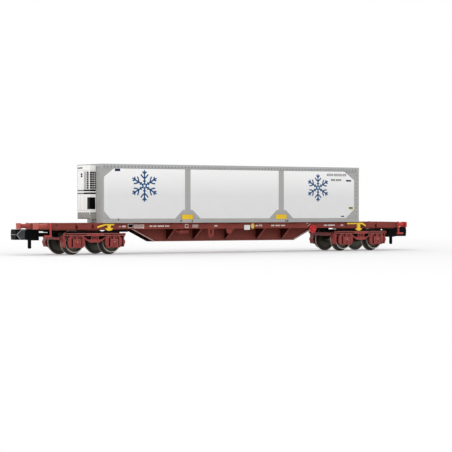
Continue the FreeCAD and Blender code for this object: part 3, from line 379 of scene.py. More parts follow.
def piece(name, shape, body, material, slot=None):
    """Blender object made from a shape, riding on a CAD body. A paint can be given by its name; the slot
    argument is not used.
    """
    if isinstance(material, str):
        material, slot = PAINTS[material], material
    mesh = bpy.data.meshes.new(name)
    mesh.from_pydata([point * MM for point in shape.points], [], [list(face) for face in shape.faces])
    bm = bmesh.new()
    bm.from_mesh(mesh)
    bmesh.ops.recalc_face_normals(bm, faces=bm.faces)
    bm.to_mesh(mesh)
    bm.free()
    mesh.shade_smooth()
    mesh.set_sharp_from_angle(angle=math.radians(35))
    mesh.materials.append(material)
    made = bpy.data.objects.new(name, mesh)
    bpy.context.scene.collection.objects.link(made)
    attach(made, body)
    return made


PRINT = dict(vary=0.05, bump=0.04, grime_and_shade=0.1, edge_wear_and_highlight=0.0, radius=0.01, specular=0.3)
BLUE_PRINT = surface("printed_blue", (2, 80, 132), rough=0.4, **PRINT)
NAVY_PRINT = surface("printed_navy", (4, 32, 66), rough=0.4, **PRINT)
BROWN_PRINT = surface("printed_brown", (74, 62, 28), rough=0.4, **PRINT)
YELLOW_PRINT = surface("printed_yellow", (238, 196, 34), rough=0.4, **PRINT)
PALE_PRINT = surface("printed_pale", (222, 204, 198), rough=0.45, **PRINT)
CREAM_PRINT = surface("printed_cream", (226, 214, 160), rough=0.45, **PRINT)
DARK_PRINT = surface("printed_grey", (30, 31, 34), rough=0.45, **PRINT)
BLACK_PRINT = surface("printed_black", (7, 7, 8), rough=0.6, **{**PRINT, "specular": 0.04})
WHITE_PRINT = surface("printed_white", (236, 237, 238), rough=0.4, **PRINT)
BAND_GREY = surface("unit_band_grey", (88, 89, 90), **PRINT)
SEAM_GREY = surface("unit_seam_grey", (170, 170, 168), rough=0.6, **PRINT)
LOUVRE = surface("grille_louvre_grey", (206, 207, 208), vary=0.04)
SLAT = surface("grille_slat_grey", (214, 215, 215), vary=0.06)
# Painted shade: the rivets' darker grey stands for the shade round their heads.
RIVET_SHADE = surface("rail_rivet_shaded_grey", (112, 112, 112), rough=0.45, vary=0.04, edge_wear_and_highlight=0.0)
GLASS = surface("window_smoked_glass", (8, 8, 9), rough=0.25, vary=0.3, bump=0.02, specular=0.06,
                grime_and_shade=0.2, edge_wear_and_highlight=0.0)
MESH = surface("grille_dark_mesh", (4, 4, 5), rough=0.8, vary=0.2, specular=0.02, edge_wear_and_highlight=0.0)
RUBBER = surface("door_gasket_rubber", (44, 44, 46), rough=0.7, vary=0.15, specular=0.2)
# Painted reflections on the black couplers: pale grey on the head's bevelled ribs and bluish grey on its
# cheek.
COUPLER_GLINT = surface("coupler_scuffed_edge", (150, 152, 154), rough=0.4, vary=0.25, patch=900.0)
CHEEK = surface("coupler_worn_cheek", (44, 47, 50), rough=0.4, vary=0.3, patch=700.0)
POCKET_SHADE = surface("pocket_shade", (74, 22, 19), rough=0.7, vary=0.2, specular=0.05)
# Painted highlights along the bogie frames' edges and on the axlebox caps.
BOGIE_HIGHLIGHT = surface("bogie_rubbed_edge", (200, 118, 110), vary=0.18, patch=1200.0)
# Painted highlight: a pale ring on each wheel's rim stands for light on its chamfer.
RIM_HIGHLIGHT = surface("wheel_bright_rim", (206, 198, 184), rough=0.4, metal=0.5, vary=0.12, grime_and_shade=0.3)
RED_DARK = surface("hand_wheel_shade_red", (150, 20, 28), vary=0.1)
RIB_SHADE = surface("rib_shaded_face", (66, 22, 16), rough=0.7, vary=0.25, specular=0.0, edge_wear_and_highlight=0.0)
# Painted highlight: pale pink along the edges of the girder's slanted ends.
GIRDER_HIGHLIGHT = surface("girder_painted_highlight", (232, 200, 194), vary=0.15, patch=900.0)
# Painted shade: near-black red on the undersides of the girder's slanted ends.
SHADED_RED = surface("girder_shaded_underside", (34, 12, 9), rough=0.8, vary=0.2, specular=0.0, edge_wear_and_highlight=0.0)


# ---- container ----
PANEL = at("container_panels_near")
SIDE = at("container_side_near")
TOP = at("container_top_rails")
BASE = at("container_bottom_rails")
FLOOR = at("container_floor")
ROOF = at("container_roof")
UNIT = at("reefer_unit")
TANK = at("reefer_tank")
DOOR = at("rear_door_near")
PRINT_THICK = 0.025
ROOT = 0.02  # how far prints and plates reach into the face under them
FRAME_BAR = 0.17  # bar of a blank frame that stands for a printed number


def on_panel(shape, name, material, slot=None):
    """Piece on both long sides of the container."""
    piece(name, both_sides(shape), "container", material, slot)


RAIL_RIVETS, RAIL_PITCH = 80, 1.06
POST_RIVETS, POST_PITCH, POST_TOP = 11, 1.2, 22.4
POST_ROW = 0.82  # the post's row, past the panel's end
GUSSET_RIVETS, GUSSET_Z = (37.4, 38.46, 39.52, 40.58, 41.64), 23.36


def top_rail_rivets():
    """Rivets along the top rail, and down the door end's corner post and its gusset, in a darker grey of
    painted shade.
    """
    row, posts = Shape(), Shape()
    first, z = TOP[0] + 0.46, TOP[4] + 0.36
    for i in range(RAIL_RIVETS):
        row.dome((first + RAIL_PITCH * i, TOP[2], z), NEAR, 0.2, 0.08, 8)
    on_panel(row, "top_rail_rivets", RIVET_SHADE, "rail_grey")
    for i in range(POST_RIVETS):
        posts.dome((PANEL[1] + POST_ROW, SIDE[2], POST_TOP - POST_PITCH * i), NEAR, 0.15, 0.06, 8)
    for x in GUSSET_RIVETS:
        posts.dome((x, SIDE[2], GUSSET_Z), NEAR, 0.15, 0.06, 8)
    on_panel(posts, "corner_post_rivets", RIVET_SHADE, "container_grey")


# Strokes of a frost star's arm: (along, aside) at both ends, and the width. The units are
# those in which an arm is 4.35 long. Branches are mirrored over the arm.
ARM = 4.35
STROKES = (((0.75, 0), (ARM, 0), 0.4), ((1.35, -0.45), (1.35, 0.45), 0.34))
BRANCHES = (((3.3, 0), (3.95, 0.62), 0.36), ((2.05, 0), (2.6, 0.7), 0.38),
            ((2.55, 0.66), (3.2, 1.12), 0.38))
HUB_IN, HUB_OUT = 0.32, 0.78
HUB_DOT, EDGE_DOT, EDGE_DOTS_AT = 0.2, 0.09, 0.56
STARS = ((-29.54, 18.79, 4.35), (28.28, 18.67, 4.0))  # X, Z and radius in mm


def snowflake(x, z, radius):
    """Six-armed frost star: each arm has a cross bar and mirrored branches, round a hub."""
    y0, y1 = PANEL[2] - PRINT_THICK, PANEL[2] + ROOT
    size = radius / ARM
    star = Shape()
    for arm in range(6):
        turn = math.radians(90 + 60 * arm)

        def spot(along, aside, turn=turn):
            along, aside = along * size, aside * size
            return (x + along * math.cos(turn) - aside * math.sin(turn),
                    z + along * math.sin(turn) + aside * math.cos(turn))

        for a, b, width in STROKES:
            star.stroke(spot(*a), spot(*b), width * size, y0, y1)
        for side in (-1, 1):
            for (a, aside), (b, out), width in BRANCHES:
                star.stroke(spot(a, side * aside), spot(b, side * out), width * size, y0, y1)
    star.ring((x, y0, z), FAR, HUB_IN * size, HUB_OUT * size, 0.03)
    return star


def snow_dots(x, z, radius):
    """White dots on a star's hub: one in the middle and six between the arms."""
    size, y = radius / ARM, PANEL[2] - PRINT_THICK
    dots = Shape().dome((x, y, z), NEAR, HUB_DOT * size, 0.02)
    for arm in range(6):
        turn, out = math.radians(60 + 60 * arm), EDGE_DOTS_AT * size
        spot = (x + out * math.cos(turn), y - 0.006, z + out * math.sin(turn))
        dots.dome(spot, NEAR, EDGE_DOT * size, 0.02)
    return dots


def livery():
    """Blank generic markings on the container's long sides."""
    y0, y1 = PANEL[2] - PRINT_THICK, PANEL[2] + ROOT
    left, right = STARS
    on_panel(snowflake(*left) + snowflake(*right), "frost_stars", BLUE_PRINT)
    on_panel(snow_dots(*left) + snow_dots(*right), "frost_star_dots", WHITE_PRINT, "panel_white")
    plates = (("navy", NAVY_PRINT, (-38.73, -37.1, 22.77, 23.46)),
              ("navy_end", NAVY_PRINT, (38.33, 40.15, 20.6, 21.06)),
              ("brown", BROWN_PRINT, (39.35, 40.75, 12.55, 13.0)),
              ("grey", BLACK_PRINT, (36.54, 37.63, 10.15, 10.45)))
    for name, material, (x0, x1, z0, z1) in plates:
        on_panel(Shape().block(x0, x1, y0, y1, z0, z1, 0.01), "label_" + name, material)
    outline = [(39.2, 13.1), (41.0, 13.1), (41.0, 12.3), (40.5, 12.1), (39.6, 12.3)]
    field = Shape().prism(outline, "y", y0 + 0.012, y1)
    on_panel(field, "label_pale_fields", CREAM_PRINT)
    rows = Shape()
    for x0, x1, z0, z1 in ((31.5, 33.5, 22.2, 22.8), (33.9, 36.7, 22.2, 22.8), (37.1, 38.3, 22.2, 22.8),
                           (32.9, 34.3, 20.75, 21.25), (34.7, 36.5, 20.75, 21.25)):
        rows.frame(x0, x1, z0, z1, FRAME_BAR, y0, y1)
    on_panel(rows, "blank_number_frames", DARK_PRINT)


def base_marks():
    """Yellow forklift pocket plates, and the bottom rail's dark ticks and lower lip."""
    face, rail = BASE[2], BASE[5]
    pockets, lips = Shape(), Shape()
    for x0, x1 in ((-17.64, -14.09), (13.48, 17.28)):
        pockets.block(x0, x1, face - 0.03, face + 0.08, rail - 0.2, rail + 1.15, 0.02)
        lips.frame(x0 - 0.12, x1 + 0.12, rail - 0.3, rail + 1.25, 0.1, face - 0.04, face + 0.05)
    on_panel(pockets, "pocket_plates_yellow", YELLOW_PRINT)
    on_panel(lips, "pocket_plate_rims", "container_grey")
    ticks = Shape()
    for x, z0, z1 in ((-37.64, 9.3, 9.85), (-14.35, 8.75, 9.5), (17.0, 8.7, 10.1)):
        ticks.block(x - 0.11, x + 0.11, face - PRINT_THICK, face + ROOT, z0, z1)
    for x, z in ((-17.96, 9.11), (17.63, 9.02)):
        ticks.dome((x, face, z), NEAR, 0.25, 0.06)
    on_panel(ticks, "base_rail_marks", BLACK_PRINT)
    edge = Shape()
    for x0, x1 in ((-32.0, -18.6), (18.4, 38.0)):
        edge.block(x0, x1, face - 0.04, face + 0.04, BASE[4] + 0.04, BASE[4] + 0.2, 0.02)
    on_panel(edge, "base_rail_lower_lip", "rail_grey")


def door_end():
    """Gaskets, hinges, raised ribs and blank plates on the doors."""
    x, low, high, edge = DOOR[1], DOOR[4], DOOR[5], -DOOR[2]
    gasket, hinge, ribs = Shape(), Shape(), Shape()
    gasket.block(x - 0.1, x + 0.03, -0.09, 0.09, low, high - 0.2, 0.02)
    for side in (-1, 1):
        gasket.block(x - 0.1, x + 0.03, side * (edge - 0.22), side * (edge - 0.06), low, high - 0.2, 0.02)
        for z in (low + 0.05, high - 0.36):
            gasket.block(x - 0.1, x + 0.028, side * 0.1, side * (edge - 0.24), z, z + 0.14, 0.02)
        for z in (low + 1.3, low + 5.2, low + 9.2, high - 2.0):
            hinge.block(x, x + 0.12, side * (edge - 1.0), side * (edge - 0.1), z, z + 0.5, 0.03)
            pin, y = x + 0.14, side * (edge - 0.12)
            hinge.rod((pin, y, z - 0.08), (pin, y, z + 0.58), 0.13)
            for out in (0.4, 0.78):
                hinge.bolt((x + 0.12, side * (edge - out), z + 0.25), (1, 0, 0), 0.09, 0.06)
        for z in (low + 2.6, low + 6.6, low + 10.4):
            ribs.block(x - 0.02, x + 0.09, side * 0.55, side * (edge - 1.15), z, z + 0.7, 0.08)
    piece("door_gaskets", gasket, "container", RUBBER)
    piece("door_hinges", hinge, "container", "rail_grey")
    piece("door_ribs", ribs, "container", "container_grey")
    plates = Shape().block(x, x + 0.06, 2.7, 4.7, low + 8.0, low + 9.6, 0.02)
    plates.block(x, x + 0.06, -4.6, -3.0, low + 8.4, low + 9.2, 0.02)
    piece("door_blank_plates", plates, "container", "plate_white")


def floor_bearers():
    """Cross bearers under the container's floor, and the plate on its front end, painted pale to stand for
    light in the shade under the front wall.
    """
    under = Shape()
    x = FLOOR[0] + 1.2
    while x < FLOOR[1] - 1.0:
        under.block(x, x + 0.5, FLOOR[2] + 1.6, FLOOR[3] - 1.6, FLOOR[4] - 0.14, FLOOR[4] + 0.05, 0.03)
        x += 3.3
    piece("floor_bearers", under, "container", "container_grey")
    x, half, low, high = FLOOR[0], BASE[3] - 0.9, FLOOR[4] + 0.02, BASE[5]
    end = Shape().block(x - 0.12, x + 0.02, -half, half, low, high - 0.1, 0.03)
    for y in (-4.4, 0.0, 4.4):
        end.block(x - 0.2, x, y - 0.3, y + 0.3, low, high - 0.2, 0.03)
    # Painted light: the end plate takes the pale plate paint in place of the container grey, where it sits
    # in shade.
    piece("base_end_plate", end, "container", PAINTS["plate_white"], "container_grey")


def roof_details():
    """Seam caps along the roof's edges and two blank inspection plates."""
    top = ROOF[5]
    seams = Shape()
    for side in (-1, 1):
        seams.block(ROOF[0] + 0.4, ROOF[1] - 0.4, side * (ROOF[3] - 0.55), side * (ROOF[3] - 0.25),
                    top - 0.02, top + 0.06, 0.03)
    for x in (-38.0, 38.4):
        seams.block(x, x + 1.6, -2.2, 2.2, top - 0.02, top + 0.06, 0.03)
        for dx in (0.25, 1.35):
            for y in (-1.9, 1.9):
                seams.dome((x + dx, y, top + 0.06), (0, 0, 1), 0.12, 0.04, 8)
    piece("roof_seams", seams, "container", "rail_grey")


# ---- refrigeration unit ----
FRONT_SPLIT = -0.36  # Y where the front's near and far halves meet
CELL_ROWS, LOUVRES = 8, 22
SLAT_HALF = 0.07


def grille():
    """Dark cells round the near corner, behind pale slats and bars, and louvres beside them."""
    front, near = UNIT[0], UNIT[2]
    low, high = UNIT[4] + 6.46, UNIT[5] - 1.75
    back = Shape()
    back.block(front + 0.03, front + 0.17, near + 0.13, near + 1.66, low, high)
    back.block(front + 0.13, UNIT[1] - 0.01, near - 0.02, near + 0.17, low, high)
    piece("grille_cells", back, "container", MESH)
    plain = Shape()
    step = (high - low) / LOUVRES
    for i in range(LOUVRES):
        z = low + step * (i + 0.2)
        plain.block(front + 0.03, front + 0.16, near + 1.7, FRONT_SPLIT, z, z + step * 0.55, 0.03)
    plain.block(front + 0.1, front + 0.165, near + 1.68, FRONT_SPLIT, low, high)
    piece("grille_louvres", plain, "container", LOUVRE, "unit_white")
    bars, slats = Shape(), Shape()
    pitch = (high - low) / CELL_ROWS
    for i in range(CELL_ROWS + 1):
        z = low + pitch * i
        z0, z1 = z - SLAT_HALF, z + SLAT_HALF
        slats.block(front + 0.01, front + 0.16, near + 0.11, near + 1.68, z0, z1, 0.02)
        slats.block(front + 0.11, UNIT[1] - 0.01, near - 0.04, near + 0.16, z0, z1, 0.02)
    piece("grille_slats", slats, "container", SLAT, "unit_white")
    bars.block(front, front + 0.16, near + 1.6, near + 1.74, low, high, 0.03)
    for x0, x1 in ((front + 0.81, front + 0.85), (front + 1.42, front + 1.5)):
        bars.block(x0, x1, near - 0.05, near + 0.16, low, high, 0.02)
    piece("grille_bars", bars, "container", "unit_white")


def unit_stripes():
    """Two bands below the grille, black on the near half and grey on the far, seams and catches."""
    front, near, far = UNIT[0], UNIT[2], UNIT[3]
    out = PRINT_THICK
    bands_end, seams_end = TANK[1] - 0.02, TANK[1] - 0.14
    dark, grey = Shape(), Shape()
    for z in (UNIT[4] + 6.05, UNIT[4] + 5.26):
        z0, z1 = z - 0.23, z + 0.23
        dark.block(front - out, front + 0.3, near - out, FRONT_SPLIT, z0, z1, 0.01)
        dark.block(front - out + 0.2, bands_end, near - out, near + 0.3, z0, z1, 0.01)
        grey.block(front - out, front + 0.3, FRONT_SPLIT, far + out, z - 0.17, z + 0.17, 0.01)
        grey.block(front + 0.2, seams_end, far - 0.3, far + out, z - 0.17, z + 0.17, 0.01)
    piece("unit_bands_black", dark, "container", BLACK_PRINT)
    piece("unit_bands_grey", grey, "container", BAND_GREY)
    seam = Shape()
    low, high = UNIT[4] + 0.62, UNIT[5] - 1.4
    for z in (high, low):
        z0, z1 = z - 0.03, z + 0.03
        seam.block(front - 0.008, front + 0.1, near + 0.1, far - 0.1, z0, z1)
        seam.block(front + 0.1, seams_end, near - 0.008, near + 0.1, z0, z1)
        seam.block(front + 0.1, seams_end, far - 0.1, far + 0.008, z0, z1)
    for y, z0, z1 in ((-0.42, low, UNIT[4] + 5.0), (1.9, low, UNIT[4] + 5.0), (-0.3, UNIT[4] + 6.3, high)):
        seam.block(front - 0.008, front + 0.1, y - 0.03, y + 0.03, z0, z1)
    piece("unit_seams", seam, "container", SEAM_GREY, "unit_white")
    marks = Shape()
    for z in (UNIT[5] - 2.62, UNIT[5] - 3.2):
        marks.block(front - 0.06, front + 0.05, 0.7, 1.55, z, z + 0.46, 0.02)
    for y in (0.65, 1.6, 2.55):
        marks.block(front - 0.03, front + 0.05, y, y + 0.82, UNIT[5] - 0.82, UNIT[5] - 0.5, 0.01)
    piece("unit_catches", marks, "container", BLACK_PRINT)


def unit_window():
    """Smoked window in its recess, wrapped round the near corner, with a thin inner frame."""
    front, near = UNIT[0], UNIT[2]
    low, high = UNIT[4] + 0.82, UNIT[4] + 4.2
    glass = Shape()
    glass.block(front + 0.05, front + 0.17, near + 0.1, near + 1.46, low + 0.06, high - 0.06, 0.03)
    glass.block(front + 0.05, front + 1.85, near + 0.05, near + 0.17, low + 0.06, high - 0.06, 0.03)
    piece("unit_window_glass", glass, "container", GLASS)
    rim = Shape()
    x, y = front + 0.03, near + 0.03
    for z0, z1 in ((low, low + 0.06), (high - 0.06, high)):
        rim.block(x, front + 0.16, y, near + 1.5, z0, z1, 0.02)
        rim.block(x, front + 1.9, y, near + 0.16, z0, z1, 0.02)
    rim.block(x, front + 0.16, near + 1.44, near + 1.5, low, high, 0.02)
    rim.block(front + 1.84, front + 1.9, y, near + 0.16, low, high, 0.02)
    piece("unit_window_rim", rim, "container", "unit_white")


def tank_details():
    """Ribs and drain plug of the lower tank, and the catches along its top edge."""
    front, near, far, low, high = TANK[0], TANK[2], TANK[3], TANK[4], TANK[5]
    dark = Shape()
    for y in (-3.0, -1.9, -0.7, 0.6, 1.9, 3.0):
        dark.block(front - 0.02, front + 0.1, y - 0.16, y + 0.16, high - 0.16, high + 0.04, 0.02)
    for x in (0.5, 1.1, 1.65):
        dark.block(front + x - 0.14, front + x + 0.14, near - 0.02, near + 0.1,
                   high - 0.16, high + 0.04, 0.02)
    piece("tank_catches", dark, "container", BLACK_PRINT)
    ribs = Shape()
    for y in (-2.5, -1.3, 0.0, 1.3, 2.5):
        ribs.block(front - 0.05, front + 0.1, y - 0.07, y + 0.07, low + 0.4, high - 0.35, 0.02)
    ribs.block(front - 0.04, front + 0.2, near + 0.35, far - 0.35, low + 0.32, low + 0.46, 0.02)
    piece("tank_ribs", ribs, "container", "tank_grey")
    plug = Shape().turned([(-0.02, 0.16), (0.05, 0.15), (0.08, 0.09)],
                          (front + 0.08, near + 0.08, high - 0.35), (-1, -1, 0), 12)
    piece("tank_plug", plug, "container", WHITE_PRINT)


# ---- wagon ----
SILL = at("side_sill_near")
DECK = at("end_deck_right")
HEAD = at("headstock_right")


def sill_marks():
    """Blank frames and bars in pale print on the side sills, as on a lettered wagon."""
    face = SILL[2]
    y0, y1 = face - PRINT_THICK, face + ROOT
    pale, black = Shape(), Shape()
    black.block(-34.1, -32.75, y0, y1, 7.38, 8.2, 0.01)
    pale.frame(-34.25, -32.6, 7.25, 8.33, 0.12, y0, y1)
    pale.block(-37.0, -36.4, y0, y1, 7.5, 7.75)
    pale.block(-36.0, -34.9, y0, y1, 7.42, 7.9)
    for x0, x1, z0, z1 in ((-32.3, -31.1, 7.65, 8.15), (-30.9, -29.2, 7.65, 8.15),
                           (-32.3, -31.5, 7.1, 7.55), (-31.3, -30.3, 7.1, 7.55), (-30.1, -29.2, 7.1, 7.55),
                           (-16.2, -15.1, 7.15, 8.2), (8.3, 9.4, 7.5, 7.95)):
        pale.frame(x0, x1, z0, z1, FRAME_BAR, y0, y1)
    for x0, x1 in ((-27.5, -26.6), (-26.3, -25.3), (-24.9, -22.9), (-22.6, -21.2), (-6.6, -5.6),
                   (7.2, 8.0), (12.5, 13.6), (14.0, 15.6), (15.9, 17.3), (31.0, 32.2), (32.5, 34.9),
                   (37.0, 37.9)):
        pale.block(x0, x1, y0, y1, 7.5, 7.88)
    for z in (7.3, 7.8):
        pale.block(-13.8, -11.9, y0, y1, z, z + 0.22)
    for a, b in (((25.2, 7.45), (26.4, 8.2)), ((24.7, 8.1), (25.5, 8.35))):
        pale.stroke(a, b, 0.16, y0, y1)
    piece("sill_blank_marks", turned_too(pale), "wagon", PALE_PRINT)
    piece("sill_blank_plates", turned_too(black), "wagon", BLACK_PRINT)
    x, z, half, tall = 6.17, 7.61, 0.56, 0.86
    rim = Shape()
    corners = [(x, z - tall), (x + half, z), (x, z + tall), (x - half, z)]
    for i in range(4):
        rim.stroke(corners[i], corners[(i + 1) % 4], 0.26, y0 - 0.03, y1)
    piece("sill_diamonds", turned_too(rim), "wagon", YELLOW_PRINT, "lever_yellow")
    heart = Shape().prism([(x, z - 0.6), (x + 0.36, z), (x, z + 0.6), (x - 0.36, z)], "y", y0, y1)
    piece("sill_diamond_fields", turned_too(heart), "wagon", CREAM_PRINT, "plate_white")


def sill_rivets():
    """Rivets along the sills, and dark plates of painted shade in their stake pockets."""
    face = SILL[2]
    heads = Shape()
    for x in (-54.5, -53.9, -40.6, -39.9, 40.1, 40.8, 53.9, 54.5):
        for z in (7.35, 8.1):
            heads.dome((x, face, z), NEAR, 0.11, 0.05, 8)
    for x in (-56.4, -50.0, -47.2, -31.0, -19.0, -9.2, 10.6, 20.2, 33.4, 47.4, 50.4, 56.2):
        heads.dome((x, face, SILL[5] - 0.22), NEAR, 0.1, 0.05, 8)
    piece("sill_rivets", both_sides(heads), "wagon", "oxide_red")
    pockets = Shape()
    for x, z, tall in ((-55.8, 8.1, 0.3), (-49.83, 7.5, 0.95), (-45.05, 7.6, 0.95),
                       (45.05, 7.6, 0.95), (49.83, 7.5, 0.95)):
        pockets.block(x - 0.3, x + 0.3, face - 0.02, face + 0.05, z - tall / 2, z + tall / 2, 0.1)
    piece("sill_stake_pocket_shades", both_sides(pockets), "wagon", POCKET_SHADE, "oxide_red")


TREAD_ROWS, TREAD_PITCH = 0.5, 0.7
TREAD_LONG, TREAD_WIDE = 0.2, 0.09


def deck_treads():
    """Raised lozenges in staggered rows on the end decks."""
    treads = Shape()
    x, top, row = DECK[0] + 0.5, DECK[5], 0
    while x < DECK[1] - 0.4:
        y = DECK[2] + 0.6 + (TREAD_PITCH / 2 if row % 2 else 0)
        while y < DECK[3] - 0.5:
            lozenge = [(x - TREAD_LONG, y), (x, y - TREAD_WIDE), (x + TREAD_LONG, y), (x, y + TREAD_WIDE)]
            treads.prism(lozenge, "z", top - 0.01, top + 0.04)
            y += TREAD_PITCH
        x += TREAD_ROWS
        row += 1
    piece("deck_treads", turned_too(treads), "wagon", "oxide_red")


def brake_pipes():
    """Brake pipe under each sill, over each bogie."""
    pipes = Shape()
    for y in (-6.45, 6.45):
        for end in (-1, 1):
            z = SILL[4] - 0.1
            path = [(end * 36.6, y, z + 0.1), (end * 37.4, y, z), (end * 47.0, y, z), (end * 56.6, y, z),
                    (end * 57.2, y, z + 0.1)]
            pipes.pipe(path, 0.12)
    piece("brake_pipes", pipes, "wagon", "oxide_red")


def brake_rigging():
    """Brake beam and its pulls under the deck, between the girder's end and each bogie, in black that
    stands for the shade there.
    """
    rigging = Shape()
    for end in (-1, 1):
        rigging.block(end * 31.2, end * 36.5, -1.5, 1.5, 6.32, SILL[4] + 0.3, 0.08)
        rigging.block(end * 32.8, end * 34.2, -2.6, 2.6, 6.4, 6.85, 0.08)
        for y in (-0.8, 0.8):
            rigging.rod((end * 31.0, y, 6.2), (end * 36.0, y, 6.2), 0.14)
    piece("brake_rigging", rigging, "wagon", "black_plastic")


def buffer_bolts():
    """Four bolts at each buffer's foot, and a ring round it behind its head."""
    heads, faces = Shape(), Shape()
    box = at("buffer_right_near")
    y, z = (box[2] + box[3]) / 2, (box[4] + box[5]) / 2
    for side in (-1, 1):
        for dy in (-0.78, 0.78):
            for dz in (-0.5, 0.5):
                heads.bolt((HEAD[1] + 0.27, side * y + dy, z + dz), (1, 0, 0), 0.1, 0.08)
        faces.ring((box[1] - 0.9, side * y, z), (1, 0, 0), 0.64, 0.78, 0.12, 24)
    for end, turn, paint in (("right", NO_TURN, RIGHT_BUFFER_RELIT), ("left", HALF_TURN, PAINTS["buffer_red"])):
        piece("buffer_bolts_" + end, (heads + faces).copy(turn), "wagon", paint, "buffer_red")


def step_bolts():
    """Bolts on the corner steps' hangers and tread bars on their lowest board."""
    heads = Shape()
    box = at("corner_steps_right")
    for z in (6.6, 7.7, 8.2):
        heads.dome((box[0] + 0.3, box[2], z), NEAR, 0.09, 0.05, 8)
    for x in (box[0] + 0.6, box[0] + 1.2, box[0] + 1.8):
        heads.block(x, x + 0.3, box[2] + 0.05, box[2] + 0.6, box[4] + 0.49, box[4] + 0.54, 0.01)
    shape = both_sides(heads)
    piece("step_details", shape + shape.copy(MIRROR_X), "wagon", "buffer_red")


# Outline of a hand wheel's opening: angle from its middle and share of the rim's radius.
OPENING = ((-0.42, 1), (-0.2, 1), (0.0, 1), (0.2, 1), (0.42, 1), (0.3, 0.45), (-0.3, 0.45))


def hand_wheel_faces():
    """Spokes, hub cap and shaded openings on each hand brake wheel."""
    for end in ("near", "far"):
        box = at("hand_wheel_" + end)
        x, z = (box[0] + box[1]) / 2, box[4] + (box[1] - box[0]) / 2
        out = -1 if end == "near" else 1
        face = (box[2] + 0.2 if end == "near" else box[3] - 0.2) + out * 0.08
        rim = (box[1] - box[0]) / 2 - 0.34
        shaded_gaps, spokes = Shape(), Shape()
        for i in range(5):
            middle = math.radians(90 + 72 * i)
            arc = []
            for aside, share in OPENING:
                turn = middle + aside
                arc.append((x + rim * share * math.cos(turn), z + rim * share * math.sin(turn)))
            shaded_gaps.prism(arc, "y", face - 0.01, face + out * 0.03)
            along = math.radians(54 + 72 * i)
            spokes.rod((x + 0.3 * math.cos(along), face, z + 0.3 * math.sin(along)),
                       (x + rim * math.cos(along), face, z + rim * math.sin(along)), 0.1, 8)
        spokes.turned([(0, 0.36), (0.14, 0.34), (0.2, 0.2)], (x, face, z), (0, out, 0), 12)
        piece("hand_wheel_openings_" + end, shaded_gaps, "wagon", RED_DARK, "wheel_red")
        piece("hand_wheel_spokes_" + end, spokes, "wagon", "wheel_red")


BELLY = at("centre_girder")
GIRDER_HALF = (BELLY[3] - BELLY[2]) / 2
SLANT_TOP = (31.075, 7.0)  # X and Z at the top of the girder's slanted end
BELLY_END = 23.655  # X at its foot
RIB_PLACES = (-19.205, -10.605, 0.0, 10.605, 19.205)
RIB_THICK = 0.45


def girder_details():
    """Painted shade on the ribs' faces, painted highlights along the edges of the girder's slanted ends,
    and painted shade on their undersides.
    """
    shades = Shape()
    low, high = BELLY[4] + 0.65, SILL[4] - 0.1
    outline = [(-1.95, low), (-2.5, low), (-6.4, high), (-1.95, high)]
    for x in RIB_PLACES:
        left, right = x - RIB_THICK / 2, x + RIB_THICK / 2
        shades.prism(outline, "x", left - 0.02, left + 0.05)
        shades.prism(outline, "x", right - 0.05, right + 0.02)
    piece("rib_shades", both_sides(shades), "wagon", RIB_SHADE, "oxide_red")
    (x0, z0), (x1, z1) = SLANT_TOP, (BELLY_END, BELLY[4])
    run = math.hypot(x0 - x1, z0 - z1)
    up, along = ((z0 - z1) / run, (x0 - x1) / run)
    edges, shades = Shape(), Shape()
    for end in (-1, 1):
        def spot(x, z, lift, end=end):
            return (end * (x - up * lift), z + along * lift)

        strip = [spot(x0, z0, 0.12), spot(x1, z1, 0.12), spot(x1, z1, 0.36), spot(x0, z0, 0.36)]
        for y in (-1, 1):
            edges.prism(strip, "y", y * (GIRDER_HALF - 0.1), y * (GIRDER_HALF + 0.03))
        under = [spot(x0, z0, -0.03), spot(x1, z1, -0.03), spot(x1, z1, 0.05), spot(x0, z0, 0.05)]
        shades.prism(under, "y", 0.04 - GIRDER_HALF, GIRDER_HALF - 0.04)
    piece("girder_slant_highlights", edges, "wagon", GIRDER_HIGHLIGHT, "oxide_red")
    piece("girder_slant_undersides", shades, "wagon", SHADED_RED, "oxide_red")


DROP_X = -60.63  # left coupler's hanging pin


def coupler_details():
    """Ribs and a cheek in painted reflection on each coupler's head, and the sleeve of its hanging pin."""
    head = at("coupler_left")
    near = head[2]
    lines = (((-65.15, 5.5), (-63.72, 6.8), 0.2),
             ((-65.15, 5.55), (-63.95, 4.2), 0.2), ((-63.72, 6.8), (-62.5, 6.86), 0.14))
    ribs = Shape()
    for a, b, width in lines:
        ribs.stroke(a, b, width, near - 0.06, near + 0.05)
    ribs.block(head[0] - 0.05, head[0] + 0.05, near + 0.15, -near - 0.15, 5.47, 5.63, 0.02)
    cheek = [(-65.0, 5.52), (-63.7, 6.68), (-62.7, 6.68), (-62.7, 4.4), (-63.9, 4.4)]
    cheek = Shape().prism(cheek, "y", near - 0.035, near + 0.05)
    sleeve = Shape().turned([(0, 0.3), (0.12, 0.44), (0.3, 0.49), (2.9, 0.49), (3.1, 0.6), (3.3, 0.6)],
                            (DROP_X, 0, head[4] - 0.02), (0, 0, 1), 20)
    for end, turn in (("left", NO_TURN), ("right", HALF_TURN)):
        body = "coupler_" + end
        piece(body + "_glint_ribs", ribs.copy(turn), body, COUPLER_GLINT, "black_plastic")
        piece(body + "_cheeks", cheek.copy(turn), body, CHEEK, "black_plastic")
        piece(body + "_pin_sleeve", sleeve.copy(turn), body, "black_plastic")


# ---- bogies ----
CAP_PAST_BEAM = 0.52  # axlebox cap, past the side beam's face
CAP_PAST_COVER = 0.12  # and past the axlebox's cover
BEAM_HEIGHT = 0.68
AXLES = (-5.625, 5.625)  # from the bogie's middle
AXLE_Z = (at("wheels_1")[4] + at("wheels_1")[5]) / 2


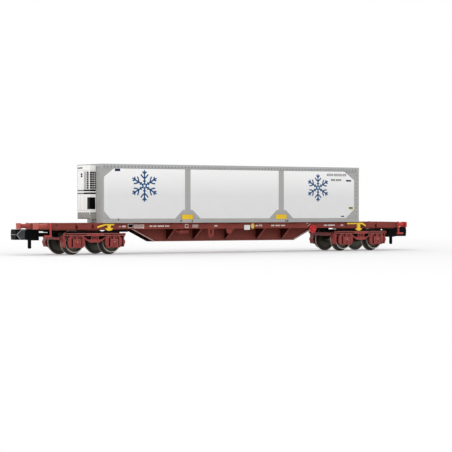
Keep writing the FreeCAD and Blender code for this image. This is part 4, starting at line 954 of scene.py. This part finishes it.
def bogie_details(end):
    """Bolts, covers and springs of one bogie, with painted highlights on its edges, painted shade in the
    cover gaps, and black plates that stand for the shade inside its frames.
    """
    frame_box = at("bogie_" + end + "_frame_far")
    middle = (frame_box[0] + frame_box[1]) / 2
    proud, top = frame_box[3], frame_box[5]
    beam, cover = proud - CAP_PAST_BEAM, proud - CAP_PAST_COVER
    body = "bogie_" + end
    bits = Shape()
    for axle in AXLES:
        x = middle + axle
        bits.frame(x - 0.78, x + 0.78, 2.3, 3.9, 0.16, cover - 0.03, cover + 0.1)
        bits.turned([(0, 0.44), (0.1, 0.42), (0.16, 0.28)], (x, proud - 0.02, AXLE_Z), FAR, 20)
        for dx in (-0.56, 0.56):
            for z in (2.52, 3.68):
                bits.bolt((x + dx, cover + 0.1, z), FAR, 0.1, 0.08)
        for z in (2.35, 4.3):
            for dx in (-2.0, 2.0):
                bits.dome((x + dx, proud - 0.42, z), FAR, 0.13, 0.07, 8)
    for x in (-8.6, -7.9, -3.1, -2.4, -1.7, 1.7, 2.4, 3.1, 7.9, 8.6):
        bits.dome((middle + x, beam, top - 0.13), FAR, 0.08, 0.05, 8)
    bits.block(middle - 1.2, middle + 1.2, beam - 0.02, beam + 0.08, top - 0.85, top - 0.35, 0.03)
    for x in (-0.9, 0.9):
        bits.bolt((middle + x, beam + 0.06, top - 0.6), FAR, 0.12, 0.08)
    piece(body + "_fittings", both_sides(bits), body, "bogie_red")
    springs, edges, shaded_gaps, shade_guards = Shape(), Shape(), Shape(), Shape()
    for axle in AXLES:
        for i in range(4):
            z = 4.2 + 0.15 * i
            springs.ring((middle + axle, beam + 0.1, z), (0, 0, 1), 0.2, 0.34, 0.09, 16)
        edges.dome((middle + axle, proud + 0.12, AXLE_Z + 0.12), FAR, 0.22, 0.08)
    for z in (top - 0.07, top - BEAM_HEIGHT + 0.01):
        edges.block(frame_box[0] + 0.9, frame_box[1] - 0.9, beam - 0.02, beam + 0.03, z, z + 0.08, 0.01)
    for axle in AXLES:
        x = middle + axle
        for side in (-1, 1):
            edges.block(x + side * 1.04, x + side * 1.12, cover - 0.02, cover + 0.03, 2.2, 4.18, 0.01)
            # Dark plates of painted shade in the gaps beside each axlebox cover.
            shaded_gaps.block(x + side * 1.12, x + side * 1.52, beam - 0.3, beam - 0.12, 2.3, 4.5, 0.02)
        edges.block(x - 1.08, x + 1.08, cover - 0.02, cover + 0.03, 4.1, 4.18, 0.01)
        shade_guards.block(x - 2.4, x + 2.4, 5.95, 6.08, top - 0.5, top + 0.56, 0.03)
    # Black plates that stand for the shade inside the frames. They stand past the wheels' outer faces, at
    # Y 5.87, and clear the levers in a swivel.
    shade_guards.block(middle - 6.0, middle + 5.0, 5.97, 6.07, top - 0.1, top + 0.44, 0.03)
    shade_guards.block(middle - 3.1, middle + 3.1, 6.1, 6.36, 4.1, top - 0.6, 0.05)
    piece(body + "_highlight_edges", both_sides(edges), body, BOGIE_HIGHLIGHT, "bogie_red")
    piece(body + "_cover_gap_shades", both_sides(shaded_gaps), body, POCKET_SHADE, "bogie_red")
    piece(body + "_shade_guards", both_sides(shade_guards), body, "black_plastic")
    piece(body + "_springs", both_sides(springs), body, "bogie_red")


def wheel_rings(number):
    """Rim ring painted pale as a highlight, and hub cap, on both wheels of a wheelset."""
    box = at("wheels_" + str(number))
    x, z, face = (box[0] + box[1]) / 2, (box[4] + box[5]) / 2, box[3]
    rings = Shape().ring((x, face - 0.005, z), FAR, 2.58, 2.76, 0.03, 64)
    cap = [(-0.02, 0.95), (0.04, 0.93), (0.1, 0.8), (0.12, 0.45)]
    hubs = Shape().turned(cap, (x, face, z), FAR, 24)
    body = "wheelset_" + str(number)
    piece(body + "_rim_rings", both_sides(rings), body, RIM_HIGHLIGHT, "wheel_metal")
    piece(body + "_hubs", both_sides(hubs), body, "axle_steel")


for make in (top_rail_rivets, livery, base_marks, door_end, floor_bearers, roof_details, grille,
             unit_stripes, unit_window, tank_details, sill_marks, sill_rivets, deck_treads,
             brake_pipes, brake_rigging, buffer_bolts, step_bolts, hand_wheel_faces,
             girder_details, coupler_details):
    make()
for end in ("left", "right"):
    bogie_details(end)
for number in (1, 2, 3, 4):
    wheel_rings(number)


# ---- stage: floor, world, lamps and camera ----
SHADE_REACH = 0.2  # metres over which the object shades the card
GREY, SHADED_GREY = (0.8, 0.8, 0.8, 1), (0.76, 0.76, 0.77, 1)
WHITE, SHADED_WHITE = (1, 1, 1, 1), (0.92, 0.92, 0.93, 1)
CARD_GLOW = 0.22  # light of its own that the card shows to the eye
SKY = 0.45  # strength of the sky on the object
AIM = Vector((0, 0, 0.012))  # where the lamps point


def white_to_eye(g):
    """1 for camera, glossy and transmission rays, which see a plain white background."""
    path = g.add("LightPath").outputs
    seen = g.add("Math", {0: path["Is Camera Ray"], 1: path["Is Glossy Ray"]}, operation="MAXIMUM")
    inputs = {0: seen.outputs[0], 1: path["Is Transmission Ray"]}
    return g.add("Math", inputs, operation="MAXIMUM").outputs[0]


def stage():
    """Pale card, darker where the object shades it, that turns to plain white far out."""
    g = Graph(bpy.data.materials.new("floor_card"))
    eye = white_to_eye(g)
    place = g.add("NewGeometry").outputs["Position"]
    reach = g.add("VectorMath", {0: place}, operation="LENGTH").outputs["Value"]
    far = g.span(reach, 0, 1, 0.16, 0.3)
    open_sky = g.add("AmbientOcclusion", {"Distance": SHADE_REACH}, samples=24).outputs["AO"]
    clear = g.span(open_sky, 0, 1, 0.88, 1.0)
    card = g.add("BsdfDiffuse", {"Color": g.mix(clear, SHADED_GREY, GREY)}).outputs[0]
    glow = g.mix(clear, SHADED_WHITE, WHITE)
    lift = g.add("Emission", {"Color": glow, "Strength": g.span(eye, 0, CARD_GLOW)}).outputs[0]
    near = g.add("AddShader", {0: card, 1: lift}).outputs[0]
    white = g.add("Emission", {"Color": WHITE, "Strength": 1.0}).outputs[0]
    blend = g.add("Math", {0: far, 1: eye}, operation="MULTIPLY").outputs[0]
    shader = g.add("MixShader", {0: blend, 1: near, 2: white}).outputs[0]
    g.add("OutputMaterial", {0: shader})
    bpy.ops.mesh.primitive_circle_add(vertices=64, radius=4, fill_type="NGON")
    floor = bpy.context.object
    floor.name = "floor"
    floor.data.materials.append(g.owner)


def sky():
    """Even white light from all round."""
    g = Graph(bpy.data.worlds.new("studio"))
    bpy.context.scene.world = g.owner
    strength = g.span(white_to_eye(g), SKY, 1.0)
    back = g.add("Background", {"Color": WHITE, "Strength": strength})
    g.add("OutputWorld", {0: back.outputs[0]})


def lamp(name, place, size, watts):
    """Square soft box that faces the middle of the object."""
    data = bpy.data.lights.new(name, "AREA")
    data.shape, data.size, data.energy = "SQUARE", size, watts
    made = bpy.data.objects.new(name, data)
    made.location = place
    made.rotation_euler = (AIM - Vector(place)).to_track_quat("-Z", "Y").to_euler()
    bpy.context.scene.collection.objects.link(made)


stage()
sky()
lamp("key_left", (-0.45, -0.55, 0.48), 0.8, 2.4)
lamp("low_left", (-0.80, -0.22, 0.20), 0.4, 1.5)
lamp("fill_right", (0.45, -0.70, 0.34), 0.7, 1.05)
lamp("top_back", (0.05, 0.30, 0.80), 0.8, 1.3)
lamp("low_back", (0.10, 0.80, 0.44), 0.9, 3.2)

camera = bpy.data.cameras.new("camera")
camera.lens, camera.sensor_width = 134.2, 36.0
camera.clip_start = 0.01
viewer = bpy.data.objects.new("camera", camera)
viewer.location = (-0.25110, -0.41650, 0.01205)
viewer.rotation_euler = (math.radians(89.47), 0, math.radians(-31.23))
bpy.context.scene.collection.objects.link(viewer)
bpy.context.scene.camera = viewer
bpy.context.scene.view_settings.view_transform = "Standard"
